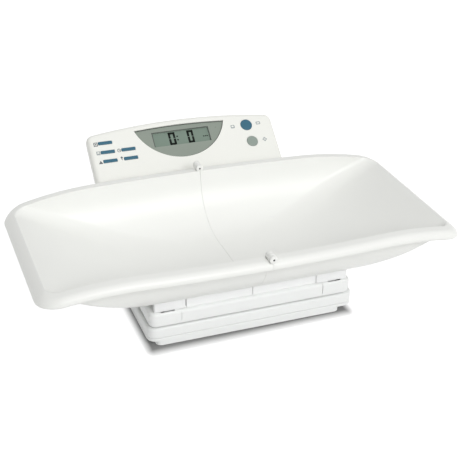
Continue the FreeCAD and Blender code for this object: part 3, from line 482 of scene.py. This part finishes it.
BASE_LEFT, BASE_RIGHT, BASE_FRONT, BASE_BACK = -154.2, 161.6, -91.2, 150.0
BASE_TOP, BASE_STEP, PARTING, BASE_FOOT, PLINTH_FOOT = 34.0, 30.4, 14.4, 8.6, 1.2
BASE_CORNER, BASE_EDGE, GROOVE_WIDTH, GROOVE_EDGE, COVER_EDGE = 14.0, 4.0, 0.6, 0.5, 1.2
RAISED_INSET, RAISED_CORNER, RAISED_EDGE, RAISED_SUNK = (12.0, 10.0), 8.0, 2.5, 1.0
LIP_INSET, LIP_Z, LIP_CORNER = 2.8, (13.4, 15.0), 11.0
PLINTH_X, PLINTH_INSET, PLINTH_SUNK = (-142.4, 140.2), (0.4, 7.5), 0.5
PLINTH_CORNER, PLINTH_EDGE = 8.0, 0.6
WELL_X, WELL_Y, WELL_Z = (25.0, 71.0), (-21.0, 21.0), (24.0, 40.0)


def base_slab(inset, *form):
    """Slab in the plan of the base, drawn in by inset in x and y."""
    return slab((BASE_LEFT + inset[0], BASE_RIGHT - inset[0]),
                (BASE_FRONT + inset[1], BASE_BACK - inset[1]), *form)


bm = base_slab((0, 0), (PARTING, BASE_STEP), BASE_CORNER, BASE_EDGE, GROOVE_EDGE, 8)
base = add_piece("base_shell", bm, "base", "base_white", BASE_WHITE, "base_top_shell")
bm = base_slab(RAISED_INSET, (BASE_STEP - RAISED_SUNK, BASE_TOP), RAISED_CORNER, RAISED_EDGE)
raised = add_piece("base_raised_top", bm, "base", "base_white", BASE_WHITE)
for shell in (base, raised):
    cut_away(shell, block(WELL_X, WELL_Y, WELL_Z))
bm = base_slab((0, 0), (BASE_FOOT, PARTING - GROOVE_WIDTH), BASE_CORNER, GROOVE_EDGE,
               COVER_EDGE, 8)
add_piece("base_cover", bm, "base", "base_white", BASE_WHITE, "base_bottom_cover")
bm = base_slab((LIP_INSET, LIP_INSET), LIP_Z, LIP_CORNER)
add_piece("base_lip", bm, "base", "base_white", BASE_WHITE)
bm = slab(PLINTH_X, (BASE_FRONT + PLINTH_INSET[0], BASE_BACK - PLINTH_INSET[1]),
          (PLINTH_FOOT, BASE_FOOT + PLINTH_SUNK), PLINTH_CORNER, 0, PLINTH_EDGE)
add_piece("base_plinth", bm, "base", "base_white", BASE_WHITE)


# ---- Display head ---------------------------------------------------------------------------
# A tilted housing of white ABS with an arched top.  Its front shell has a half-moon recess for
# the display and holes for seven keys.

HEAD_WHITE = moulded("head white", (0.845, 0.850, 0.805))
HEAD_TILT, HEAD_PLACE = math.radians(39.9), Vector((0, 184.1, 132.7))
HEAD_X, HEAD_LOW, HEAD_SHOULDER, HEAD_CROWN = 158.0, -10.0, 80.3, 92.6
HEAD_CORNER, HEAD_LOW_CORNER = 12.0, 9.0
HEAD_SHIFT, HEAD_EDGE, HEAD_PARTING, HEAD_BACK = 3.0, 8.0, -16.0, -32.0
DRAFT, PARTING_GROOVE, HOLE_DEPTH = 0.8, 0.2, 4.2
LOW_TIGHTENING = 0.6                     # of the low corners, as the outline is drawn in
LOW_STEPS, SIDE_CORNER_STEPS, CROWN_STEPS = 8, 10, 16


def to_head(bm):
    """Places a shape drawn with x along the head, y up its face and z out of it."""
    turn = Matrix.Rotation(HEAD_TILT, 4, "X")
    bmesh.ops.transform(bm, matrix=Matrix.Translation(HEAD_PLACE * MM) @ turn, verts=bm.verts)
    return bm


def crown_radius(half, shoulder, crown):
    """Radius of the arc through both shoulders and the crown."""
    rise = crown - shoulder
    return (half ** 2 + rise ** 2) / (2 * rise)


def arched(half, shoulder, crown, x):
    """Height at x of the arc through both shoulders and the crown."""
    radius = crown_radius(half, shoulder, crown)
    return crown - radius + math.sqrt(radius ** 2 - x ** 2)


def turned(x, y, radius, angle):
    """Point at angle on the circle of that radius about x, y."""
    return x + radius * math.cos(angle), y + radius * math.sin(angle)


def head_outline(inset, depth):
    """Closed line round the head, anticlockwise from the bottom right."""
    radius = crown_radius(HEAD_X, HEAD_SHOULDER, HEAD_CROWN)
    centre = HEAD_CROWN - radius
    low = HEAD_LOW_CORNER - inset * LOW_TIGHTENING
    right = []
    for k in range(LOW_STEPS + 1):
        a = math.pi / 2 * k / LOW_STEPS
        right.append((HEAD_X - inset - low + low * math.sin(a),
                      HEAD_LOW + inset + low * (1 - math.cos(a))))
    x = HEAD_X - HEAD_CORNER
    y = centre + math.sqrt((radius - HEAD_CORNER) ** 2 - x ** 2)
    lean = math.atan2(y - centre, x)
    right += [turned(x, y, HEAD_CORNER - inset, lean * k / SIDE_CORNER_STEPS)
              for k in range(SIDE_CORNER_STEPS + 1)]
    right += [turned(0, centre, radius - inset, lean + (math.pi / 2 - lean) * k / CROWN_STEPS)
              for k in range(1, CROWN_STEPS + 1)]
    points = right + [(-px, py) for px, py in right[-2::-1]]
    return [Vector((px + HEAD_SHIFT, py, depth)) for px, py in points + points[:1]]


def edge_loop(bm, points):
    """Closed ring of edges through the points, with repeated points left out."""
    apart = [p for k, p in enumerate(points) if (p - points[k - 1]).length > 1e-4]
    verts = [bm.verts.new(p * MM) for p in apart]
    return [bm.edges.new(pair) for pair in zip(verts, verts[1:] + verts[:1])]


def sink(bm, edges, depth):
    """Extrudes loops of edges straight in or out, and returns their far ends."""
    made = bmesh.ops.extrude_edge_only(bm, edges=edges)["geom"]
    moved = {v for v in made if isinstance(v, bmesh.types.BMVert)}
    bmesh.ops.translate(bm, verts=list(moved), vec=(0, 0, depth * MM))
    return [e for e in made
            if isinstance(e, bmesh.types.BMEdge) and all(v in moved for v in e.verts)]


def oval(x, y, half, height, corner, depth, steps=6):
    """Rounded rectangle about x, y; half and height are its half sizes."""
    points = []
    for sx, sy, start in ((1, -1, -90), (1, 1, 0), (-1, 1, 90), (-1, -1, 180)):
        for k in range(steps + 1):
            at = turned(x + sx * (half - corner), y + sy * (height - corner), corner,
                        math.radians(start + 90 * k / steps))
            points.append(Vector((*at, depth)))
    return points


def disc(x, y, radius, depth, steps=6):
    """Circle about x, y."""
    return oval(x, y, radius, radius, radius, depth, steps)


WINDOW_X, WINDOW_TOP, WINDOW_CROWN, WINDOW_LOW = 76.5, 78.0, 81.0, 22.0
DEEP_STEPS, SHALLOW_STEPS = 24, 12       # along half of each arc


def window_outline(depth, grow=0.0):
    """Half-moon: a shallow arc above and a deep arc below."""
    half, top, crown, low = (WINDOW_X + grow, WINDOW_TOP + grow, WINDOW_CROWN + grow,
                             WINDOW_LOW - grow)
    radius = crown_radius(half, low, top)
    swing = math.asin(half / radius)
    lower = [(radius * math.sin(a), low + radius - radius * math.cos(a))
             for a in [swing * (k / DEEP_STEPS - 1) for k in range(2 * DEEP_STEPS + 1)]]
    across = [half * k / SHALLOW_STEPS for k in range(SHALLOW_STEPS - 1, -SHALLOW_STEPS, -1)]
    upper = [(px, arched(half, top, crown, px)) for px in across]
    return [Vector((px, py, depth)) for px, py in lower + upper]


# Middle of each key on the head's face, and the radius of the round ones.
KEYS = {"key_memory": (-127.0, 63.6), "key_recall": (-126.0, 47.4), "key_clear": (-92.3, 47.8),
        "key_difference": (-125.2, 31.6), "key_adjust": (-91.7, 32.0)}
ROUND_KEYS = {"key_weight": (113.8, 64.2, 9.8), "key_power": (116.2, 33.5, 9.3)}
KEY_X, KEY_Y, KEY_PLAY, HOLE_CORNER = 11.4, 2.75, 0.3, 1.5

bm = bmesh.new()
turns = [math.pi / 2 * k / 6 for k in range(7)]
rolled = [head_outline(HEAD_EDGE * (1 - math.cos(a)), HEAD_EDGE * (math.sin(a) - 1)) for a in turns]
wrap(bm, [head_outline(DRAFT, HEAD_PARTING + PARTING_GROOVE)] + rolled)
front = edges_at(bm, 0)
holes = edge_loop(bm, window_outline(0))
for x, y in KEYS.values():
    holes += edge_loop(bm, oval(x, y, KEY_X + KEY_PLAY, KEY_Y + KEY_PLAY, HOLE_CORNER, 0))
for x, y, radius in ROUND_KEYS.values():
    holes += edge_loop(bm, disc(x, y, radius + KEY_PLAY, 0, 12))
fill(bm, front + holes)
sink(bm, holes, -HOLE_DEPTH)
add_piece("head_front", to_head(bm), "base", "head_white", HEAD_WHITE, "display_front_shell",
          angle=30)


# ---- Rear shell of the head -----------------------------------------------------------------
# A drafted shell of white ABS, screwed on from behind, with the battery box, the seat of its
# door and the pocket that takes the head of the arm.

# Inset and depth of the lines that give the shell its draft and its rounded back edge.
DRAFTED = ((DRAFT, HEAD_PARTING - PARTING_GROOVE), (3.0, -27.0), (3.6, -30.5), (4.6, HEAD_BACK))
BATTERY_X, BATTERY_Y, BATTERY_FLOOR, DOOR_SEAT = (68.0, 129.0), (14.0, 70.0), -13.5, 1.6
SEAT_MARGIN, SEAT_CORNER, BOX_CORNER = 3.0, 3.0, 0.5
POCKET_X, POCKET_Y, POCKET_DEPTH = (-20, 20), (-4, 10), 4.0
SCREW_X, SCREW_Y, SCREW_HOLE = (-146.5, 146.5), (6.0, 56.0), 3.2


def box_loop(x, y, grow, corner, depth):
    """Rounded rectangle over the spans x and y, grown on every side."""
    return oval(sum(x) / 2, sum(y) / 2, (x[1] - x[0]) / 2 + grow, (y[1] - y[0]) / 2 + grow,
                corner, depth)


bm = bmesh.new()
wrap(bm, [head_outline(inset, depth) for inset, depth in DRAFTED])
plate = edges_at(bm, HEAD_BACK)
seat = edge_loop(bm, box_loop(BATTERY_X, BATTERY_Y, SEAT_MARGIN, SEAT_CORNER, HEAD_BACK))
pocket = edge_loop(bm, box_loop(POCKET_X, POCKET_Y, 0.0, SEAT_CORNER, HEAD_BACK))
for x in SCREW_X:
    for y in SCREW_Y:
        plate += edge_loop(bm, disc(x, y, SCREW_HOLE, HEAD_BACK))
fill(bm, plate + seat + pocket)
fill(bm, sink(bm, pocket, POCKET_DEPTH))
ledge = sink(bm, seat, DOOR_SEAT)
box = edge_loop(bm, box_loop(BATTERY_X, BATTERY_Y, 0.0, BOX_CORNER, HEAD_BACK + DOOR_SEAT))
fill(bm, ledge + box)
fill(bm, sink(bm, box, BATTERY_FLOOR - HEAD_BACK - DOOR_SEAT))
add_piece("head_rear", to_head(bm), "base", "head_white", HEAD_WHITE, "display_rear_shell",
          angle=30)


# ---- Display --------------------------------------------------------------------------------
# A grey-green half-moon panel lies in the recess.  A thin dark ring along the window's edge and a
# dark bracket over the top and sides of the glass opening are painted shade of the recess walls.
# The liquid crystal glass behind it shows large dark digits through a rectangular opening.

GLASS_X, GLASS_Y, PANEL_TOP, GLASS_TOP = 47.2, (45.9, 70.8), -2.5, -4.3
PANEL, PANEL_MARGIN, OPENING_CORNER = 1.7, 1.5, 0.6
# Height, thickness and spans of the thin dark patches that paint the shade of the recess edges.
SHADE_PATCH_THICKNESS, SHADE_RING_TOP, SHADE_RING_SPAN = 0.3, PANEL_TOP + 0.25, (0.2, -1.3)
SHADE_BRACKET_WIDTH, SHADE_BRACKET_TOP = 1.2, PANEL_TOP + 0.2
GLASS_MARGIN, GLASS_BACK = 3.0, -6.6
WINDOW_GREEN = moulded("window green", (0.262, 0.300, 0.258), 0.30, 0.05, 0.0)
LCD_GREEN = moulded("lcd green", (0.183, 0.245, 0.200), 0.22, 0.06, 0.0)
INK = moulded("ink", (0.010, 0.014, 0.011), 0.5, 0.1, 0.0, Specular_IOR_Level=0.1)
# Painted shade: the dark colour of the ring and bracket that stand in for the recess walls' shade.
RECESS_SHADE_DARK = moulded("painted recess shade", (0.075, 0.085, 0.078), 0.6, 0.1, 0.0)


def add_patches(name, slot, material, thickness, shapes, *replaced):
    """Flat patches on the head; a shape is one closed line, or a line and the hole in it."""
    bm = bmesh.new()
    for shape in shapes:
        fill(bm, [e for outline in shape for e in edge_loop(bm, outline)])
    made = bmesh.ops.extrude_face_region(bm, geom=bm.faces[:])["geom"]
    backs = [v for v in made if isinstance(v, bmesh.types.BMVert)]
    bmesh.ops.translate(bm, verts=backs, vec=(0, 0, -thickness * MM))
    add_piece(name, to_head(bm), "base", slot, material, *replaced)


opening = oval(0, sum(GLASS_Y) / 2, GLASS_X, (GLASS_Y[1] - GLASS_Y[0]) / 2, OPENING_CORNER,
               PANEL_TOP, 2)
add_patches("display_panel", "window_green", WINDOW_GREEN, PANEL,
            [(window_outline(PANEL_TOP, PANEL_MARGIN), opening)], "display_window")
# Painted shade: a thin dark ring along the window's edge, where the recess wall shades the panel.
add_patches("window_painted_shade", "dark_rubber", RECESS_SHADE_DARK, SHADE_PATCH_THICKNESS,
            [[window_outline(SHADE_RING_TOP, grow) for grow in SHADE_RING_SPAN]])
# Painted shade: a dark bracket over the top and sides of the glass opening, where its edge shades
# the glass.
wide, tall = GLASS_X + SHADE_BRACKET_WIDTH, GLASS_Y[1] + SHADE_BRACKET_WIDTH
bracket = [(-wide, GLASS_Y[0]), (-GLASS_X, GLASS_Y[0]), (-GLASS_X, GLASS_Y[1]),
           (GLASS_X, GLASS_Y[1]), (GLASS_X, GLASS_Y[0]), (wide, GLASS_Y[0]), (wide, tall),
           (-wide, tall)]
add_patches("display_painted_shade", "dark_rubber", RECESS_SHADE_DARK, SHADE_PATCH_THICKNESS,
            [([Vector((x, y, SHADE_BRACKET_TOP)) for x, y in bracket],)])

bm = block((-GLASS_X - GLASS_MARGIN, GLASS_X + GLASS_MARGIN),
           (GLASS_Y[0] - GLASS_MARGIN, GLASS_Y[1] + GLASS_MARGIN), (GLASS_BACK, GLASS_TOP))
add_piece("display_crystal", to_head(bm), "base", "lcd_glass", LCD_GREEN, "display_glass")

STROKE, BAR_GAP, BAR_Z = 3.6, 0.45, (GLASS_TOP - 0.2, GLASS_TOP + 0.05)
DIGIT_Y = (47.0, 69.6)
DIGITS = ((-21.4, 11.6), (10.4, 10.8))   # left edge and width
COLON_X, COLON_Y, DOT = (-7.9, -5.4), (55.0, 61.4), 1.2
MARK_X, MARK_LENGTH, MARK_Y = (36.5, 39.6, 42.7), 2.2, (55.0, 56.8)


def add_bar(bm, x, y):
    """One dark bar on the glass."""
    bar = block(x, y, BAR_Z)
    mesh = bpy.data.meshes.new("bar")
    bar.to_mesh(mesh)
    bar.free()
    bm.from_mesh(mesh)
    bpy.data.meshes.remove(mesh)


def add_zero(bm, left, width):
    """The six lit bars of a seven-bar digit that shows 0."""
    (low, high), right = DIGIT_Y, left + width
    middle = (low + high) / 2
    for top in (high, low + STROKE):
        add_bar(bm, (left + BAR_GAP, right - BAR_GAP), (top - STROKE, top))
    for x in (left, right - STROKE):
        for a, b in ((low, middle), (middle, high)):
            add_bar(bm, (x, x + STROKE), (a + BAR_GAP, b - BAR_GAP))


bm = bmesh.new()
for left, width in DIGITS:
    add_zero(bm, left, width)
for y in COLON_Y:
    add_bar(bm, COLON_X, (y - DOT, y + DOT))
for x in MARK_X:
    add_bar(bm, (x, x + MARK_LENGTH), MARK_Y)
add_piece("display_digits", to_head(bm), "base", "lcd_glass", INK)


# ---- Keys -----------------------------------------------------------------------------------
# Five oblong blue keys at the left, and a blue and a grey round key at the right, moulded in
# ABS, pass through the front shell onto a rubber mat.

KEY_BLUE = moulded("key blue", (0.032, 0.136, 0.207), 0.33, 0.08, 0.02)
KEY_GREY = moulded("key grey", (0.277, 0.331, 0.295), 0.36, 0.06, 0.02)
KEY_TOP, KEY_FOOT, KEY_CORNER, KEY_EDGE, ROUND_KEY_EDGE = 0.9, -5.6, 1.3, 0.8, 1.2

for key, (x, y) in KEYS.items():
    bm = slab((x - KEY_X, x + KEY_X), (y - KEY_Y, y + KEY_Y), (KEY_FOOT, KEY_TOP),
              KEY_CORNER, KEY_EDGE)
    add_piece(key + "_cap", to_head(bm), key, "key_blue", KEY_BLUE, key)
for key, slot, material in (("key_weight", "key_blue", KEY_BLUE),
                            ("key_power", "key_grey", KEY_GREY)):
    x, y, radius = ROUND_KEYS[key]
    bm = bmesh.new()
    bmesh.ops.create_cone(bm, cap_ends=True, segments=64, radius1=radius * MM,
                          radius2=radius * MM, depth=(KEY_TOP - KEY_FOOT) * MM)
    move(bm, x, y, (KEY_TOP + KEY_FOOT) / 2)
    round_off(bm, edges_at(bm, KEY_TOP), ROUND_KEY_EDGE, 4)
    add_piece(key + "_cap", to_head(bm), key, slot, material, key)


# ---- Symbols beside the keys ----------------------------------------------------------------
# Small plain signs, screen-printed on the front shell in dark and in pale grey ink.  They are a
# few hundredths of a millimetre thick.

PRINT = moulded("print", (0.115, 0.135, 0.145), 0.5, 0.1, 0.0)
PALE_PRINT = moulded("pale print", (0.360, 0.400, 0.405), 0.5, 0.1, 0.0)
PRINT_TOP = 0.06


def symbol(name, material, *shapes):
    """One printed sign of one or more patches."""
    add_patches(name, "dark_rubber", material, 2 * PRINT_TOP, shapes)


def patch(x, y, half, height, corner=0.3):
    """Outline of a printed rectangle with rounded corners."""
    return oval(x, y, half, height, corner, PRINT_TOP, 4)


def dot(x, y, radius):
    """Outline of a printed disc."""
    return patch(x, y, radius, radius, radius)


def corners(*points):
    """Outline of a printed patch with straight sides."""
    return [Vector((px, py, PRINT_TOP)) for px, py in points]


symbol("symbol_memory", PRINT, (patch(-142.6, 62.7, 3.2, 3.4), patch(-142.6, 62.7, 2.0, 2.1)),
       (patch(-142.6, 62.7, 1.1, 1.1),))
symbol("symbol_recall", PALE_PRINT, (patch(-141.4, 47.1, 3.1, 3.2), patch(-141.4, 47.8, 1.7, 1.2)))
symbol("symbol_difference", PRINT, (corners((-144.2, 28.2), (-137.6, 28.2), (-140.9, 34.0)),))
symbol("symbol_clear", PRINT, (dot(-107.7, 47.6, 3.1), dot(-107.7, 47.6, 2.2)),
       (patch(-107.7, 48.4, 0.4, 1.3),), (patch(-106.6, 47.0, 0.9, 0.35),))
symbol("symbol_adjust", PRINT, (dot(-106.4, 34.6, 1.8),),
       (corners((-107.3, 32.6), (-106.4, 29.2), (-105.5, 32.6)),))
symbol("symbol_weight_left", PALE_PRINT,
       (patch(89.6, 63.9, 3.4, 3.0, 1.2), patch(89.6, 64.3, 1.9, 1.4, 0.8)))
symbol("symbol_weight_right", PALE_PRINT,
       (patch(134.9, 65.0, 3.8, 2.6, 1.2), patch(134.9, 65.0, 2.4, 1.2, 0.8)))
symbol("symbol_power", PALE_PRINT,
       (corners((134.2, 34.1), (138.3, 29.9), (142.4, 34.1), (138.3, 38.3)), dot(138.3, 34.1, 1.9)),
       (dot(138.3, 34.1, 0.9),))


# ---- Faces of the tray's legs ---------------------------------------------------------------
# Each tray support stands on two moulded legs of white ABS, and each leg has one plain upright
# face, beside a narrow slit in the support.

# Painted light: the same white ABS as the tray, made lighter to lift the legs out of the tray's
# shade.
LEG_WHITE_PAINTED_LIGHT = moulded("leg white painted light", (0.895, 0.902, 0.898))
LEG_INNER, LEG_OUTER = {"left": -101.2, "right": 98.3}, 146.0
LEG_Y, LEG_Z, LEG_EDGE = (89.0, 92.4), (58.4, 76.0), 0.4

for end, body, sx in (("left", "tray_left_half", -1), ("right", "tray_right_half", 1)):
    for row, sy in (("front", -1), ("rear", 1)):
        bm = slab(sorted((LEG_INNER[end], sx * LEG_OUTER)), sorted((sy * LEG_Y[0], sy * LEG_Y[1])),
                  LEG_Z, LEG_EDGE, 0, LEG_EDGE, 2)
        add_piece(f"leg_face_{row}_{end}", bm, body, "tray_white", LEG_WHITE_PAINTED_LIGHT)


# ---- Supports, legs, arm, battery door and the works inside ---------------------------------
# These pieces keep their solids and get the finish of what they are made of: moulded ABS, zinc
# plated steel, aluminium, rubber, silicone, and the coats of boards and cells.  The supports and
# legs under the tray get a white lighter than the tray's instead, painted light against its shade.

UNEVEN_METAL = 0.12


def metal(name, colour, roughness):
    """Plated or machined metal with faint streaks of gloss."""
    material, shader, place = finish(name, roughness, Metallic=1.0)
    darker = tuple(c * 0.85 for c in colour)
    connect(shader, "Base Color", place.noise(120.0).between(darker, colour))
    gloss = roughness - UNEVEN_METAL / 2 + place.noise(400.0) * UNEVEN_METAL
    connect(shader, "Roughness", gloss)
    return material


FINISHES = {
    "tray_white": TRAY_WHITE,
    "base_white": BASE_WHITE,
    "head_white": HEAD_WHITE,
    "window_green": WINDOW_GREEN,
    "lcd_glass": LCD_GREEN,
    "key_blue": KEY_BLUE,
    "key_grey": KEY_GREY,
    "dark_steel": DARK_STEEL,
    "dark_rubber": moulded("foot rubber", (0.030, 0.030, 0.030), 0.75, 0.2, 0.3),
    "silicone": moulded("silicone", (0.50, 0.50, 0.47), 0.6, 0.05, 0.1),
    "circuit_board": moulded("circuit board", (0.012, 0.080, 0.030), 0.4, 0.3, 0.1),
    "zinc_steel": metal("zinc steel", (0.62, 0.63, 0.65), 0.35),
    "bar_aluminium": metal("bar aluminium", (0.72, 0.73, 0.74), 0.3),
    "battery_jacket": moulded("battery jacket", (0.035, 0.040, 0.045), 0.3, 0.2, 0.0),
}
for entry in frame["record"]["subparts"]:
    node = frame["nodes"][entry["node"]]
    node.data.materials.clear()
    # Supports and legs under the tray get the lighter white, painted light against the tray's
    # shade.
    under_tray = entry["node"].startswith(("tray_support", "tray_leg"))
    node.data.materials.append(LEG_WHITE_PAINTED_LIGHT if under_tray else FINISHES[entry["material_slot"]])


# ---- Studio ---------------------------------------------------------------------------------
# White light from all round, stronger from above, and one broad, far lamp at the front.  The
# floor is white.  Round the foot of the base its glow is masked off over a darker floor colour,
# so the soft shadow there is real shade, deepened and shaped as a painted shadow.

# The part of the floor where the glow is left out to paint the base's shadow, in metres, and how
# far that painted shadow fades out beyond.
FOOT_LEFT, FOOT_RIGHT, FOOT_Y, FOOT_MIDDLE = 0.1502, 0.1510, 0.1207, -0.0287
REACH_X, REACH_Y, FOOT_SKEW = 0.0128, 0.0190, 0.018
# The floor's colour where light bounces off it, as the camera sees it (darker, to deepen the
# painted shadow), and the glow added outside that shadow.
FLOOR_SIZE, FLOOR_BOUNCE, FLOOR_SEEN, FLOOR_GLOW = 30.0, (0.71,) * 3, (0.27,) * 3, (0.90,) * 3


def sweep_material():
    """White floor: plain white away from the base; next to it a painted shadow, the glow masked off
    over the real shade.
    """
    material, shader, place = finish("sweep", 0.9, Emission_Strength=1.0)
    rays = place.node("ShaderNodeLightPath")
    seen, glossy, through = [rays.output(f"Is {kind} Ray")
                             for kind in ("Camera", "Glossy", "Transmission")]
    parts = place.node("ShaderNodeSeparateXYZ", Vector=place)
    x, y = parts.output("X"), parts.output("Y")
    # Mask of the painted shadow: 0 at the base's foot, rising to 1 where the glow makes the floor
    # white.
    beside = x.math("MAXIMUM", -FOOT_LEFT - x, x - FOOT_RIGHT)
    off_x = x.math("MAXIMUM", beside, 0.0) * (1 / REACH_X)
    ahead = y.math("ABSOLUTE", y - FOOT_MIDDLE) + x * FOOT_SKEW - FOOT_Y
    off_y = y.math("MAXIMUM", ahead, 0.0) * (1 / REACH_Y)
    away = x.math("SQRT", off_x * off_x + off_y * off_y)
    white = x.math("MINIMUM", away, 1.0)
    glow = x.math("MINIMUM", seen + glossy + through, 1.0) * white
    connect(shader, "Base Color", seen.between(FLOOR_BOUNCE, FLOOR_SEEN))
    connect(shader, "Emission Color", glow.between((0, 0, 0), FLOOR_GLOW))
    return material


bm = bmesh.new()
bmesh.ops.create_grid(bm, x_segments=1, y_segments=1, size=FLOOR_SIZE)
mesh = bpy.data.meshes.new("sweep")
bm.to_mesh(mesh)
bm.free()
mesh.materials.append(sweep_material())
floor = bpy.data.objects.new("sweep", mesh)
bpy.context.scene.collection.objects.link(floor)

HORIZON, OVERHEAD, LEFT_SHADE = 0.55, 0.755, 0.44
world = bpy.data.worlds.new("studio")
bpy.context.scene.world = world
world.use_nodes = True
background = world.node_tree.nodes["Background"]
background.inputs["Color"].default_value = (1, 1, 1, 1)
seen = Socket(world.node_tree).node("ShaderNodeLightPath").output("Is Camera Ray")
heading = Socket(world.node_tree).node("ShaderNodeTexCoord").output("Generated")
parts = heading.node("ShaderNodeSeparateXYZ", Vector=heading)
across, height = parts.output("X"), parts.output("Z")
leftward, upward = across.math("MINIMUM", across, 0.0), height.math("MAXIMUM", height, 0.0)
shade = leftward * leftward * (1.0 - upward) * LEFT_SHADE
sky = HORIZON + upward * (OVERHEAD - HORIZON) - shade
connect(background, "Strength", sky + seen * (1.0 - sky))

LAMP_FROM = Vector((0.22, -1.7, 1.15))
lamp = bpy.data.lights.new("lamp", "SUN")
lamp.energy, lamp.angle = 1.45, math.radians(32)
lamp_object = bpy.data.objects.new("lamp", lamp)
lamp_object.rotation_euler = LAMP_FROM.to_track_quat("Z", "Y").to_euler()
bpy.context.scene.collection.objects.link(lamp_object)

CAMERA_PLACE = (-0.4755, -1.2643, 0.8235)
RIGHT, UP, FORWARD = ((0.93508561, -0.35369913, 0.02262342), (0.15100983, 0.4553508, 0.87741192),
                      (0.32064142, 0.81703891, -0.47920403))
camera = bpy.data.cameras.new("camera")
camera.sensor_width, camera.lens = 36.0, 78.97
camera.clip_start, camera.clip_end = 0.05, 100.0
eye = bpy.data.objects.new("camera", camera)
axes = Matrix((RIGHT, UP, [-f for f in FORWARD])).transposed().to_4x4()
eye.matrix_world = Matrix.Translation(CAMERA_PLACE) @ axes
bpy.context.scene.collection.objects.link(eye)
bpy.context.scene.camera = eye
bpy.context.scene.view_settings.view_transform = "Standard"
